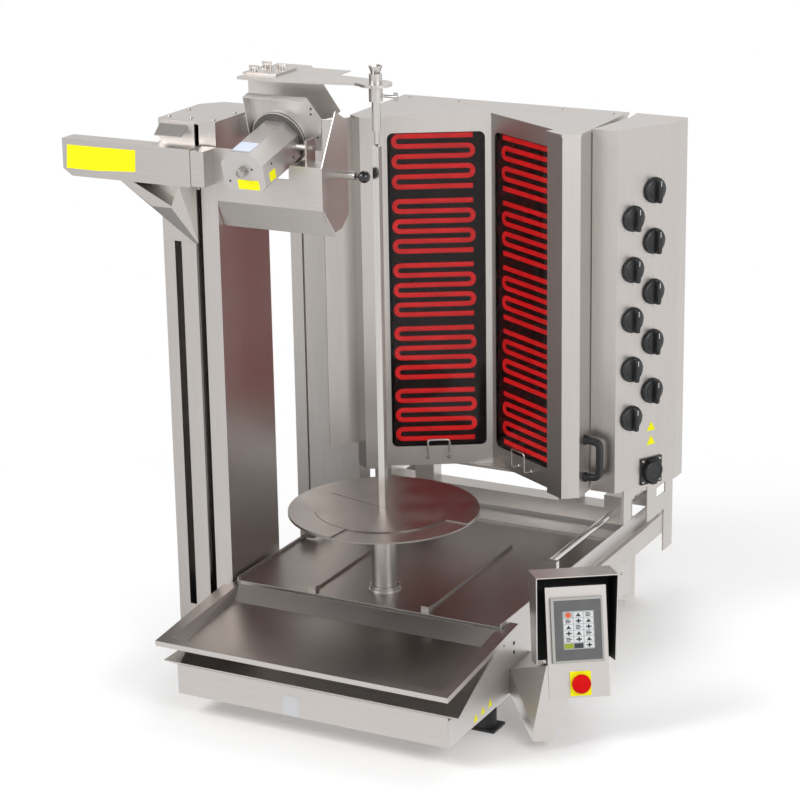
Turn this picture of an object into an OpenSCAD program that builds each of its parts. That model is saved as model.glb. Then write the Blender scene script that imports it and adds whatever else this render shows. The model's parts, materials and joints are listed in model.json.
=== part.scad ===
// Automatic gyro grill: turning spit with a serving disc, a heater that slides on rods,
// and a cutting head that a lead screw lifts along a tower. Millimetres, +Z up.
// The origin is on the ground, under the middle of the machine.

/* [Base] */
// Width over the two side plates
base_w = 640; // [600:5:700]
// Depth of the base box from its front to its rear wall
base_d = 955; // [920:5:1000]
// Height of the side plates
side_h = 176; // [165:1:200]
// Height of the drawer front
front_h = 68; // [55:1:80]
// Thickness of the sheet steel
sheet = 2; // [1.5:0.5:3]
// Height of the base box above the ground
foot_h = 50; // [40:1:80]

/* [Spit] */
// Distance of the spit from the front of the base
spit_y = 343; // [325:1:360]
// Radius of the serving disc
disc_r = 206; // [150:1:215]
// Height of the disc's upper face over the base box's underside
disc_top = 356; // [330:1:400]
// Side of the square spit bar
bar_side = 14.5; // [10:0.5:20]
// How far the spit bar's top stays under the tower's top
bar_under = 41; // [20:1:80]
// Radius of the pedestal tube
pedestal_r = 27.5; // [22:0.5:32]

/* [Heater] */
// Distance from the spit to the line where the two panels meet
heater_gap = 546; // [520:1:570]
// Angle that each panel turns away from the machine's width
panel_angle = 30; // [20:1:35]
// How far the heater's sides stand inside the base's
heater_in = 40; // [20:1:50]
// Height of the heater housing
heater_h = 821; // [780:1:900]
// Height of the heater's underside
heater_z = 290; // [270:1:320]
// Width of the strip beside each panel
strip_w = 55; // [40:1:70]
// Height of a glass
glass_h = 740; // [700:1:750]
// Number of heating zones over one another
zones = 5; // [3:1:5]
// Number of bars of a zone's serpentine
bars = 6; // [4:2:6]
// Distance between the bars
bar_pitch = 23.2; // [18:0.2:24]
// Width of a bar
bar_w = 11; // [8:0.5:13]

/* [Tower] */
// Width of the tower
tower_w = 140; // [130:1:180]
// Depth of the tower
tower_d = 205; // [180:1:230]
// Height of the tower above the ground
tower_h = 1236; // [1200:1:1300]
// Gap between the tower and the base
tower_gap = 10; // [6:1:20]
// How far the carriage's shelf rests under the tower's top
shelf_under = 74; // [66:1:126]

/* [Controls] */
// Diameter of a heat knob
knob_d = 58; // [40:1:58]
// Width of the control panel
hmi_w = 127; // [110:1:140]
// Height of the control panel
hmi_h = 231; // [220:1:250]
// Diameter of the stop button
stop_d = 40; // [30:1:42]

/* [Hidden] */
$fn = 48;

// Clearance between faces of pieces that move past each other
gap = 0.3;
// Radial clearance of a shaft in its bore
fit = 0.05;
// Overrun of a cut past the face it opens
over = 1;
half_w = base_w / 2;
tower_top = tower_h - foot_h;
shelf_z = tower_top - shelf_under;
bar_len = tower_top - bar_under - disc_top;

// Side plate of the base: front edge, slope under the tray and the band behind the box
edge_under = 8;
edge_z = front_h - edge_under;
slope_y0 = 75;
slope_y1 = 205;
slope_under = 61;
slope_z1 = side_h - slope_under;
ear_y = 254;
ear_drop = 26;
band_out = 111;
band_y = base_d + band_out;
band_h = 43;
band_z = side_h - band_h;
floor_under = 6;
floor_z = side_h - floor_under;
bulkhead_y = 258;

// Drawer
runner_h = 3;
drawer_side = 1;
lip_out = 8;
lip_up = 8;
flare = 28;
pan_over_edge = 4;
pan_rear_drop = 8;
runner_w = 12;
runner_in = 40;

// Catch tray, measured in its own tilted plane from the top of its rear wall
tray_tilt = 5.8;
tray_rear_y = 245;
tray_rear_down = 11.5;
tray_rear_z = side_h - tray_rear_down;
tray_len = 292.6;
tray_over = 23;
tray_half = half_w + tray_over;
tray_back_in = 9;
tray_floor_in = 17;
tray_open_half = half_w - sheet;
tray_back_half = half_w - tray_back_in;
tray_floor_half = half_w - tray_floor_in;
tray_depth = 22;
tray_rim = 22;
tray_edge = 12;
tray_wall_run = 40;
ear_len = 44;
rim_short = 12;
ear_fall = 25;
pin_r = 5;
pin_y = 272;
pin_under = 16;
pin_z = side_h - pin_under;

// Floor tray and its ribs
tray_side_gap = 1;
tray_end_in = 140;
tray_end_y = base_d - tray_end_in;
tray_lip = 5.5;
rib_x = 137;
rib_y0 = 270;
rib_y1 = 690;
rib_w = 9;
rib_h = 6;
rib_end_h = 12;
rib_end_len = 16;

// Feet
foot_in = 16;
foot_x = half_w - foot_in;
foot_y = 230;
foot_r = 26;
foot_plate_w = 70;
foot_plate_d = 56;
foot_plate_h = 5;
foot_neck_r = 9;
foot_neck_h = 8;
leg_w = 40;
leg_out0 = 36;
leg_out1 = 91;
leg_y0 = base_d + leg_out0;
leg_y1 = base_d + leg_out1;
leg_in = 25;
leg_x1 = half_w - leg_in;
leg_cut = 14;
leg_beam_h = 17;

// Spit drive
shaft_r = 12;
shaft_z0 = 10;
hub_h = 20;
tube_wall = 3;
collar_in = 2.5;
collar_wall = 3;
collar_flange = 6;
collar_flange_h = 3;
collar_up = 12;
collar_z0 = 110;
bearing_h = 18;
lip_w = 9;
flange_r = 34;
flange_h = 6;
seat_r = 24;
seat_top = 60;
gear_module = 2;
gear_teeth = 60;
pinion_teeth = 15;
gear_z = 86;
gear_h = 12;
tooth_up_share = 0.6;
tooth_down_share = 1.25;
tooth_root_share = 0.27;
tooth_tip_share = 0.14;
motor_r = 32;
motor_top = 70;
motor_shaft_r = 5;
disc_h = 6;
crescent_in_r = 149;
crescent_drop = 2.5;
crescent_a0 = -95;
crescent_a1 = -3;
slit_w = 1.6;
slit_deep = 2;
slit_a0 = -145;
slit_a1 = -97;
radial_slit_a = 166;
radial_slit_r = 154;
disc_z = disc_top - disc_h;
gear_r = gear_module * gear_teeth / 2;
pinion_r = gear_module * pinion_teeth / 2;
pinion_y = spit_y + gear_r + pinion_r;

// Rods, rails and the moving frame under the heater
rod_in = 25;
rod_x0 = half_w - rod_in;
rod_r = 8;
rod_up = 28;
rod_z = side_h + rod_up;
rod_front = 421;
rod_rear = 155;
rod_y0 = base_d - rod_front;
rod_y1 = base_d + rod_rear;
support_w = 36;
support_l = 14;
block_w = 44;
meet_y = spit_y + heater_gap;
block_back = 11;
block_y0 = meet_y + block_back;
block_l = 63;
block_low = 4;
block_high = 71;
block_z0 = side_h + block_low;
block_z1 = side_h + block_high;
beam_d = 50;
beam_y1 = block_y0 + beam_d;
beam_up = 41;
beam_top = side_h + beam_up;
post_in = 158;
foot_post_x = half_w - post_in;
foot_post_w = 49;
foot_post_d = 40;
bed_h = 6;
slide_front = 355;
slide_rear = 145;
slide_y0 = base_d - slide_front;
slide_y1 = base_d + slide_rear;
slide_low = 84;
slide_high = 31;
slide_z0 = side_h - slide_low;
slide_z1 = side_h - slide_high;
slide_t = 12;
slide_wall = 3;
inner_z_in = 8;
frame_out = 18;
frame_x = half_w + frame_out;
frame_t = 3;
frame_rear = 1163;
frame_ahead = 29;
frame_y0 = meet_y - frame_ahead;
frame_under = 21;
frame_z0 = side_h - frame_under;
post_up = 21;
post_z0 = side_h + post_up;
post_d = 44;
window_y0 = frame_y0 + post_d;
window_l = 99;
window_y1 = window_y0 + window_l;
window_up = 69;
window_z1 = side_h + window_up;
frame_tab_l = 56;
frame_tab_y = frame_rear - frame_tab_l;
frame_tab_under = 127;
frame_tab_z0 = side_h - frame_tab_under;
window2_post = 58;
window2_l = 55;
window2_h = 24;
window2_y0 = window_y1 + window2_post;
window2_y1 = window2_y0 + window2_l;
window2_z1 = post_z0 + window2_h;

// Heater
heater_hw = half_w - heater_in;
heater_ahead = 142;
heater_behind = 121;
heater_front_y = meet_y - heater_ahead;
heater_rear_y = meet_y + heater_behind;
strip_out = 20;
strip_side = 32.8;
strip_s1 = (heater_hw - strip_side + strip_out * sin(panel_angle)) / cos(panel_angle);
strip_s0 = strip_s1 - strip_w;
glass_s0 = 15;
glass_edge = 14;
glass_w = strip_s0 - glass_edge;
glass_t = 4;
glass_up = 46;
glass_z = heater_z + glass_up;
glass_round = 14;
window_in = 6;
frame_sheet = 1.5;
cover_h = 6;
cover_over = 4;
element_t = 2.5;
insulation_t = 24;
bar_in = 22;
bar_edge = 16;
bar_s0 = glass_s0 + bar_in;
bar_s1 = strip_s0 - bar_edge;
first_bar_down = 3;
first_bar_z = glass_z + glass_h - first_bar_down;
zone_pitch = 149.5;
bail_s0 = 103;
bail_w = 50;
bail_up = 20;
bail_h = 46;
bail_z0 = heater_z + bail_up;
bail_z1 = bail_z0 + bail_h;
bail_r = 3;
bail_out = 20;
wing_dx = 41;
wing_dy = 62;
wing_up = 55;
wing_z0 = heater_z + wing_up;
column_w = 168;
column_d = 54;
column_under = 104;
column_low_under = 68;
column_top_under = 23;
column_z0 = heater_z - column_under;
column_z1 = heater_z + heater_h - column_top_under;
column_low_z = heater_z - column_low_under;
column_seam_in = 133;
column_seam_x = heater_hw + column_seam_in;
column_seam_w = 5;
column_seam_d = 6;
handle_back = 31;
handle_up = 18;
handle_len = 116;
handle_y = heater_front_y + handle_back;
handle_z0 = heater_z + handle_up;
handle_z1 = handle_z0 + handle_len;
handle_out = 38;
handle_r = 8;

// Control box: its plan corners, and the knob face that runs from the second corner
box_gap = 2;
box_back = 59;
box_front_w = 59.4;
box_step = 1;
box_a = [heater_hw + box_gap, heater_front_y + box_back];
box_b = box_a + [box_front_w, -box_step];
face_angle = 61.5;
face_len = 151;
box_w = 144;
box_right = heater_hw + box_w;
bevel_rise = 24;
box_rear_in = 5;
box_d_y = heater_rear_y - box_rear_in;
box_e_out = 21;
box_f_out = 26.5;
box_f_ahead = 60;
box_e = [heater_hw + box_e_out, heater_rear_y];
box_f = [heater_hw + box_f_out, heater_rear_y - box_f_ahead];
box_wall = 2;
box_top = heater_z + heater_h + cover_h;
box_c = box_b + face_len * [cos(face_angle), sin(face_angle)];
knob_t1 = 103.3;
knob_t2 = 44.7;
knob_rise = [683.5, 627.9, 569.3, 512.4, 454.3, 398.2, 338.5, 284.3, 224.3, 170];
knob_z = [for (h = knob_rise) heater_z + h];
knob_skirt_h = 7;
knob_h = 24;
knob_stem_r = 3;
knob_grip_w = 12;
knob_off = 1;
switch_w = 40;
switch_d = 34;
socket_w = 60;
socket_h = 62;
socket_up = 36;
socket_z = heater_z + socket_up;
socket_t = 4;
lid_r = 25;
lid_h = 9;
hinge_r = 3;

// Tower
tower_x1 = half_w + tower_gap;
tower_x0 = tower_x1 + tower_w;
tower_ahead = 93;
tower_y0 = spit_y - tower_ahead;
tower_mid = (tower_x0 + tower_x1) / 2;
tower_cut = 40;
slot_w = 17;
slot_out = 42;
slot_in = 12;
slot_x1 = tower_mid + slot_out;
slot_x2 = tower_mid - slot_in;
slot_z0 = 95;
slot_margin = 8;
screw_r = 9;
screw_back = 95;
screw_y = tower_y0 + screw_back;
rail_r = 8;
rail_x = 45;
motor_h = 90;

// Lifting carriage and the arm that holds the feed tube
plate_gap = 2;
slider_out = 62;
slider_in = 22;
slider_x0 = tower_mid + slider_out;
slider_x1 = tower_mid - slider_in;
slider_t = 4;
slider_up = 68;
slider_down = 187;
slider_z0 = shelf_z - slider_down;
slider_z1 = shelf_z + slider_up;
tongue_side = 1.5;
nut_w = 120;
nut_d = 76;
nut_down = 72;
nut_z0 = shelf_z - nut_down;
nut_h = 60;
flap_w = 67;
flap_out = 24;
flap_fall = 24;
arm_in = 35;
arm_out = 283;
arm_down = 57;
arm_right = tower_mid - arm_in;
arm_left = tower_mid + arm_out;
arm_h = 80;
arm_z0 = shelf_z - arm_down;
arm_d = 44;
arm_cut_x = 22;
arm_cut_z = 15;
gusset_out = 140;
gusset_mid_out = 62;
gusset_mid_down = 105;
gusset_in_out = 14;
gusset_tip_out = 7;
gusset_rim = 34;
gusset_back_down = 122;
gusset_low_out = 13;
gusset_x0 = tower_mid + gusset_out;
gusset_mid_x = tower_mid + gusset_mid_out;
gusset_in_x = tower_mid + gusset_in_out;
gusset_tip_x = tower_mid - gusset_tip_out;
gusset_low_x = tower_mid - gusset_low_out;
gusset_mid_z = shelf_z - gusset_mid_down;
gusset_back_z = shelf_z - gusset_back_down;

// Feed carriage: front plate, shelf, side plate and the head's pivot bracket
tube_in = 43;
front_t = 2;
front_x1 = 74;
fold_down = 90;
skirt_down = 147;
skirt_back = 30;
skirt_flare = 15;
notch_out = 66;
notch_in = 56;
notch_deep = 30;
shelf_d = 58;
side_top_back = 54;
side_top_up = 106;
side_rear_back = 102;
side_rear_up = 80;
side_low_back = 72;
side_low_down = 142;
side_low_rise = 25;
pivot_x0 = 122;
pivot_x1 = 118;
pivot_r = 6;
barrel_r = 9;
barrel_len = 39;
plunger_back = 65;
plunger_down = 27;
feed_tube_x0 = arm_left - tube_in;
feed_tube_x1 = tower_x1 + sheet;
front_x0 = arm_right - front_t - over;
skirt_x0 = tower_x1 - sheet;
fold_z = shelf_z - fold_down;
skirt_z = shelf_z - skirt_down;
notch_z = shelf_z - notch_deep;
side_top_y = tower_y0 + side_top_back;
side_top_z = shelf_z + side_top_up;
side_rear_y = tower_y0 + side_rear_back;
side_rear_z = shelf_z + side_rear_up;
side_low_y = tower_y0 + side_low_back;
side_low_z = shelf_z - side_low_down;
plunger_y = tower_y0 + plunger_back;
plunger_z = shelf_z - plunger_down;
plunger_r = 4;
plunger_tail = 16;
ball_r = 13;
ball_x = 16;

// Cutting head, along its own tilted axis
head_x = 206;
head_ahead = 100;
head_y = tower_y0 - head_ahead;
head_z = shelf_z + over;
notch_x0 = head_x + notch_out;
notch_x1 = head_x - notch_in;
head_tilt = 14;
head_w = 98;
head_h = 86;
head_len = 165;
head_cut = 26;
head_cut_low = 12;
head_pivot = 130;
guard_r = 62;
guard_t = 3;
blade_r = 60;
blade_t = 1.5;
blade_gap = 4;
guard_deep = 14;
carrier_left = 65;
carrier_right = 76;
carrier_wing = 104;
carrier_wing_z = 48;
carrier_foot = 90;
carrier_up = 96;
carrier_down = 22;
carrier_deep = 22;
blade_shaft_r = 8;
blade_shaft_in = 20;
knob_up = 0;
feed_knob_r = 11;
feed_knob_h = 14;
feed_stem_r = 4;

// Top bracket, arm and spindle over the spit
bracket_up = 84;
bracket_back = 7;
bracket_in = 23;
bracket_top = tower_top + bracket_up;
bracket_y = spit_y + bracket_back;
bracket_d = 130;
bracket_x0 = tower_x1 - bracket_in;
bracket_x1 = 132;
bracket_tip_x = 88;
bracket_tip_down = 60;
bracket_low_x = 103;
bracket_low_down = 74;
bracket_tip_z = bracket_top - bracket_tip_down;
bracket_low_z = bracket_top - bracket_low_down;
bracket_front_h = 80;
bracket_in_x = 125;
bracket_side_h = 130;
arm_t = 6;
arm_pivot_in = 41;
arm_pivot_back = 29;
arm_pivot_x = bracket_x0 - arm_pivot_in;
arm_pivot_y = spit_y + arm_pivot_back;
arm_stud_r = 5;
arm_end_r = 34;
arm_plate_front = 46;
arm_plate_rear = 99;
arm_plate_side = 36;
arm_plate_in = 44;
arm_front_run = 40;
arm_step_x = 170;
arm_step_back = 59;
clamp_w = 80;
clamp_d = 88;
clamp_t = 4;
wing_nut_r = 7;
wing_nut_h = 7;
wing_w = 22;
wing_h = 9;
wing_t = 3;
wing_near = [-22, -28];
wing_far = [-20, 22];
wing_side = [20, 14];
sleeve_r = 14.5;
sleeve_low = 32;
sleeve_up = 19;
sleeve_up_r = 13.5;
spindle_r = 9;
spindle_tip_r = 5;
spindle_tip = 31;
funnel_h = 16;
funnel_r = 14.5;
thumb_z = 20;
thumb_r = 3;
thumb_len = 41;
thumb_wing = 18;

// Control panel at the front right: its top left corner, turn and tilt
hmi_out = 100;
hmi_ahead = 92;
hmi_up = 276;
hmi_corner = [half_w + hmi_out, spit_y - hmi_ahead, hmi_up];
hmi_turn = 34;
hmi_tilt = 14.9;
hmi_d = 30;
hood_side = 19;
hood_over = 26.5;
hood_up = 21;
hood_rise = 7;
hood_drop = 157;
hood_out = 9;
hood_deep = 92;
hood_cut = 38;
hood_lean_left = 6;
hood_lean_right = 13;
hood_t = 2;
hood_post_x = 30;
hood_post_w = 60;
hood_post_z = 110;
hood_post_h = 50;
cheek_t = 3;
cheek_up = 70;
low_x = -36;
low_w = 40;
low_z = 316;
low_h = 26;
low_d = 25;
arm_root_y0 = 294;
arm_root_y1 = 400;
arm_root_z0 = 5;
arm_root_z1 = 60;
screen_x = 9;
screen_z = 23;
screen_w = 108;
screen_h = 134;
screen_t = 7;
display_x = 24;
display_w = 66;
display_z = 27;
display_h = 80;
display_in = 1.5;
stop_x = 66;
stop_z = 201;
stop_plate_w = 44;
stop_plate_h = 51;
stop_plate_t = 2;
stop_gap = 6;
stop_h = 13;
stop_stem_r = 10;
stop_in = 18;
function hmi_point(x, y, z) = let (back = y * cos(hmi_tilt) + z * sin(hmi_tilt)) [
    hmi_corner[0] + x * cos(hmi_turn) - back * sin(hmi_turn),
    hmi_corner[1] + x * sin(hmi_turn) + back * cos(hmi_turn),
    hmi_corner[2] - y * sin(hmi_tilt) + z * cos(hmi_tilt)];
hood_right = hmi_point(hmi_w + hood_over - hood_lean_right, -hood_out, -hood_drop)[0];

// Middle of the whole machine, for its origin
tray_front = tray_len * cos(tray_tilt) - tray_rear_y;
mid_x = (hood_right - arm_left) / 2;
mid_y = (frame_rear - tray_front) / 2;

// Boxes, plates and rods between two named places
module box_at(x0, x1, y0, y1, z0, z1)
    translate([x0, y0, z0]) cube([x1 - x0, y1 - y0, z1 - z0]);
module plate_yz(x0, x1, points)
    translate([x0, 0, 0]) rotate([90, 0, 90]) linear_extrude(height = x1 - x0) polygon(points);
module rod_along_x(x0, x1, y, z, r)
    translate([x0, y, z]) rotate([0, 90, 0]) cylinder(r = r, h = x1 - x0);
module rod_along_y(x, y0, y1, z, r)
    translate([x, y0, z]) rotate([-90, 0, 0]) cylinder(r = r, h = y1 - y0);
module both_sides() {
    children();
    mirror([1, 0, 0]) children();
}
module place() translate([-mid_x, -mid_y, foot_h]) children();

// A sheet of even thickness between two open polylines of equally many points
module strip(inner, outer, t) {
    n = len(inner);
    down = [0, 0, -t];
    points = concat(inner, outer, [for (p = inner) p + down], [for (p = outer) p + down]);
    sides = [for (i = [0:n - 2]) each [
        [i, n + i, n + i + 1], [i, n + i + 1, i + 1],
        [2 * n + i, 3 * n + i + 1, 3 * n + i], [2 * n + i, 2 * n + i + 1, 3 * n + i + 1],
        [i, i + 1, 2 * n + i + 1], [i, 2 * n + i + 1, 2 * n + i],
        [n + i, 3 * n + i, 3 * n + i + 1], [n + i, 3 * n + i + 1, n + i + 1]]];
    ends = [[0, 2 * n, 3 * n], [0, 3 * n, n],
        [n - 1, 2 * n - 1, 4 * n - 1], [n - 1, 4 * n - 1, 3 * n - 1]];
    polyhedron(points, concat(sides, ends));
}

// A rounded rectangle that circles and squares fill
module rounded(x0, x1, y0, y1, r) {
    translate([x0 + r, y0]) square([x1 - x0 - 2 * r, y1 - y0]);
    translate([x0, y0 + r]) square([x1 - x0, y1 - y0 - 2 * r]);
    for (x = [x0 + r, x1 - r])
        for (y = [y0 + r, y1 - r])
            translate([x, y]) circle(r = r);
}

// Base box: side plates, bottom, rear wall, bulkhead behind the drawer and rear deck
side_points = [[sheet + gap, 0], [sheet + gap, edge_z], [slope_y0, edge_z], [slope_y1, slope_z1],
    [ear_y, side_h - ear_drop], [ear_y, side_h], [band_y, side_h], [band_y, band_z],
    [base_d, band_z], [base_d, 0]];
module base_housing() color("silver") place() difference() {
    union() {
        both_sides() plate_yz(half_w - sheet, half_w, side_points);
        box_at(-half_w + sheet / 2, half_w - sheet / 2, sheet + gap, base_d, 0, sheet);
        box_at(-half_w + sheet / 2, half_w - sheet / 2, base_d - sheet, base_d, 0, floor_z);
        box_at(-half_w + sheet / 2, half_w - sheet / 2, bulkhead_y, bulkhead_y + sheet, 0, floor_z - sheet);
        box_at(-half_w + sheet / 2, half_w - sheet / 2, tray_end_y + gap, base_d, floor_z - sheet, floor_z);
        both_sides() box_at(half_w - runner_in - runner_w, half_w - runner_in, slope_y0,
            bulkhead_y + sheet / 2,
            sheet / 2, sheet + runner_h);
    }
    rod_along_x(-half_w - over, half_w + over, pin_y, pin_z, pin_r + fit);
}

// Drawer pan: front, bottom, side walls, rear wall and the flared rim
pan_half = half_w - sheet - drawer_side;
pan_z0 = sheet + runner_h + gap;
pan_top = slope_z1 + pan_over_edge;
pan_y1 = bulkhead_y - sheet;
pan_side = [[0, pan_z0], [0, front_h], [slope_y0, edge_z + pan_over_edge + 2 * sheet],
    [slope_y1, pan_top], [pan_y1, pan_top], [pan_y1, pan_z0]];
lip_inner_right = [[pan_half - sheet, slope_y1, pan_top],
    [pan_half - sheet, slope_y0, edge_z + pan_over_edge + 2 * sheet],
    [pan_half - sheet, sheet, front_h]];
lip_outer_right = [[half_w + gap, slope_y1, pan_top + gap],
    [half_w + flare / 2, slope_y0, edge_z + flare],
    [half_w + flare, -lip_out, front_h + lip_up]];
function flip(points) = [for (i = [len(points) - 1:-1:0]) [-points[i][0], points[i][1], points[i][2]]];
module drawer_pan() color("silver") place() {
    box_at(-half_w, half_w, 0, sheet, sheet, front_h);
    box_at(-pan_half, pan_half, 0, pan_y1, pan_z0, pan_z0 + sheet);
    box_at(-pan_half, pan_half, pan_y1 - sheet, pan_y1, pan_z0, pan_top - pan_rear_drop);
    both_sides() plate_yz(pan_half - sheet, pan_half, pan_side);
    strip(concat(lip_inner_right, flip(lip_inner_right)), concat(lip_outer_right, flip(lip_outer_right)),
        sheet);
}

// Catch tray in its tilted plane
module in_tray() translate([0, tray_rear_y, tray_rear_z]) rotate([tray_tilt, 0, 0]) children();
module frustum(front, rear, half_top, half_rear, depth, front_run, rear_run, half_floor, lift)
    polyhedron([
        [-half_top, -front, 0], [half_top, -front, 0], [half_rear, -rear, 0], [-half_rear, -rear, 0],
        [-half_floor, -front + front_run, -depth], [half_floor, -front + front_run, -depth],
        [half_floor, -rear - rear_run, -depth], [-half_floor, -rear - rear_run, -depth],
        [-half_top, -front, lift], [half_top, -front, lift], [half_rear, -rear, lift],
        [-half_rear, -rear, lift]],
        [[4, 5, 6], [4, 6, 7], [0, 1, 5], [0, 5, 4], [1, 2, 6], [1, 6, 5], [2, 3, 7], [2, 7, 6],
        [3, 0, 4], [3, 4, 7], [8, 10, 9], [8, 11, 10], [0, 8, 9], [0, 9, 1], [1, 9, 10], [1, 10, 2],
        [2, 10, 11], [2, 11, 3], [3, 11, 8], [3, 8, 0]]);
tray_front_run = 20;
rim_outer = [[-tray_half, -tray_len], [tray_half, -tray_len], [tray_half, ear_len],
    [half_w + sheet, ear_len], [half_w + sheet, 0], [-half_w - sheet, 0], [-half_w - sheet, ear_len],
    [-tower_x1 + sheet, ear_len], [-tower_x1 + sheet, -rim_short], [-tray_half, -rim_short]];
module catch_tray() color("silver") place() {
    tray_body();
    both_sides() rod_along_x(half_w - 2 * sheet, half_w + 2 * sheet, pin_y, pin_z, pin_r);
}
module tray_body() in_tray() {
    difference() {
        union() {
            translate([0, 0, -sheet]) linear_extrude(height = sheet) polygon(rim_outer);
            translate([0, 0, -sheet]) frustum(tray_len - tray_rim + sheet, -sheet, tray_open_half + sheet,
                tray_back_half + sheet, tray_depth, tray_front_run, tray_wall_run, tray_floor_half + sheet,
                    sheet);
        }
        frustum(tray_len - tray_rim, 0, tray_open_half, tray_back_half, tray_depth, tray_front_run,
            tray_wall_run, tray_floor_half, over);
    }
    box_at(-tray_half, tray_half, -tray_len, -tray_len + sheet, -tray_edge, 0);
    both_sides() box_at(tray_half - sheet, tray_half, -tray_len, -rim_short, -tray_edge, 0);
    both_sides() box_at(half_w + sheet, half_w + 2 * sheet, 0, ear_len, -ear_fall, 0);
}

// Floor tray, its ribs and the collar round the pedestal
collar_r = pedestal_r + collar_in;
module floor_tray() color("silver") place() {
    difference() {
        box_at(-half_w + sheet + tray_side_gap, half_w - sheet - tray_side_gap, bulkhead_y - 3 * sheet,
            tray_end_y, floor_z - sheet, floor_z);
        translate([0, spit_y, 0]) cylinder(r = collar_r + collar_wall + gap, h = side_h);
    }
    both_sides() box_at(half_w - 2 * sheet - tray_side_gap, half_w - sheet - tray_side_gap,
        bulkhead_y, tray_end_y, floor_z, floor_z + tray_lip);
    box_at(-half_w + sheet + tray_side_gap, half_w - sheet - tray_side_gap, tray_end_y - sheet,
        tray_end_y, floor_z, floor_z + tray_lip);
    both_sides() {
        box_at(rib_x - rib_w / 2, rib_x + rib_w / 2, rib_y0, rib_y1, floor_z, floor_z + rib_h);
        box_at(rib_x - rib_w, rib_x + rib_w, rib_y0 - rib_end_len / 2, rib_y0 + rib_end_len / 2, floor_z,
            floor_z + rib_end_h);
    }
}
module floor_collar() color("gainsboro") place() translate([0, spit_y, 0]) rotate_extrude() polygon([
    [collar_r - lip_w, collar_z0], [collar_r + collar_wall, collar_z0],
    [collar_r + collar_wall, floor_z], [collar_r + collar_flange, floor_z],
    [collar_r + collar_flange, floor_z + collar_flange_h], [collar_r + collar_wall,
        floor_z + collar_flange_h],
    [collar_r + collar_wall, floor_z + collar_up], [collar_r, floor_z + collar_up],
    [collar_r, collar_z0 + sheet], [collar_r - lip_w, collar_z0 + sheet]]);

// Feet and rear legs
module feet() color("dimgray") place() both_sides() translate([foot_x - foot_r / 2, foot_y, 0]) {
    translate([0, 0, -foot_h + foot_plate_h]) cylinder(r = foot_r, h = foot_h - foot_plate_h - foot_neck_h);
    translate([0, 0, -foot_neck_h - over]) cylinder(r = foot_neck_r, h = foot_neck_h + over);
    translate([-foot_plate_w / 2, -foot_plate_d / 2, -foot_h]) cube([foot_plate_w, foot_plate_d,
        foot_plate_h]);
}
module rear_legs() color("gainsboro") place() {
    both_sides() plate_yz(leg_x1 - leg_w, leg_x1, [[leg_y0, -foot_h + leg_cut], [leg_y0, band_z],
        [leg_y1, band_z], [leg_y1, -foot_h], [leg_y0 + leg_cut, -foot_h]]);
    box_at(-half_w + sheet, half_w - sheet, leg_y0, leg_y1, band_z, band_z + leg_beam_h);
}

// Spit drive
module spit_bearings() color("gray") place() translate([0, spit_y, 0]) {
    translate([0, 0, collar_z0 + sheet]) difference() {
        cylinder(r = collar_r, h = bearing_h);
        translate([0, 0, -over]) cylinder(r = shaft_r + fit, h = bearing_h + 2 * over);
    }
    rotate_extrude() polygon([[0, sheet], [flange_r, sheet], [flange_r, sheet + flange_h],
        [seat_r, sheet + flange_h], [seat_r, seat_top], [shaft_r + fit, seat_top],
        [shaft_r + fit, shaft_z0 - gap], [0, shaft_z0 - gap]]);
}
pedestal_z0 = collar_z0 + bearing_h + 2 * sheet;
module pedestal() color("silver") place() translate([0, spit_y, 0]) rotate_extrude() polygon([
    [0, shaft_z0], [shaft_r, shaft_z0], [shaft_r, disc_z - hub_h], [pedestal_r - tube_wall, disc_z - hub_h],
    [pedestal_r - tube_wall, pedestal_z0], [pedestal_r, pedestal_z0], [pedestal_r, disc_z], [0, disc_z]]);
module sector(r0, r1, a0, a1) {
    steps = 12;
    polygon(concat([for (i = [0:steps]) r0 * [cos(a0 + (a1 - a0) * i / steps),
        sin(a0 + (a1 - a0) * i / steps)]],
        [for (i = [steps:-1:0]) r1 * [cos(a0 + (a1 - a0) * i / steps), sin(a0 + (a1 - a0) * i / steps)]]));
}
module spit_disc() color("gray") place() translate([0, spit_y, disc_z]) difference() {
    cylinder(r = disc_r, h = disc_h, $fn = 96);
    translate([0, 0, disc_h - crescent_drop]) linear_extrude(height = disc_h)
        sector(crescent_in_r, disc_r + disc_h, crescent_a0, crescent_a1);
    translate([0, 0, disc_h - slit_deep]) linear_extrude(height = disc_h)
        sector(crescent_in_r - slit_w, crescent_in_r, slit_a0, slit_a1);
    rotate([0, 0, radial_slit_a]) translate([bar_side, -slit_w / 2, disc_h - slit_deep])
        cube([radial_slit_r - bar_side, slit_w, disc_h]);
}
module spit_bar() color("silver") place()
    translate([-bar_side / 2, spit_y - bar_side / 2, disc_top]) cube([bar_side, bar_side, bar_len]);

// Spur teeth with straight flanks and generous backlash
module spur(teeth, h, bore, phase) {
    r = gear_module * teeth / 2;
    step = 360 / teeth;
    up = r + tooth_up_share * gear_module;
    down = r - tooth_down_share * gear_module;
    function at(radius, angle) = radius * [cos(angle), sin(angle)];
    difference() {
        linear_extrude(height = h) polygon([for (i = [0:teeth - 1]) each [
            at(down, phase + (i - tooth_root_share) * step), at(up, phase + (i - tooth_tip_share) * step),
            at(up, phase + (i + tooth_tip_share) * step), at(down, phase + (i + tooth_root_share) * step)]]);
        translate([0, 0, -over]) cylinder(r = bore, h = h + 2 * over);
    }
}
module drive_gear() color("dimgray") place()
    translate([0, spit_y, gear_z]) spur(gear_teeth, gear_h, shaft_r, 90);
module drive_pinion() color("dimgray") place() {
    translate([0, pinion_y, gear_z]) spur(pinion_teeth, gear_h, motor_shaft_r, 90);
    translate([0, pinion_y, motor_top / 2]) cylinder(r = motor_shaft_r, h = gear_z + gear_h - motor_top / 2);
}
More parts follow.
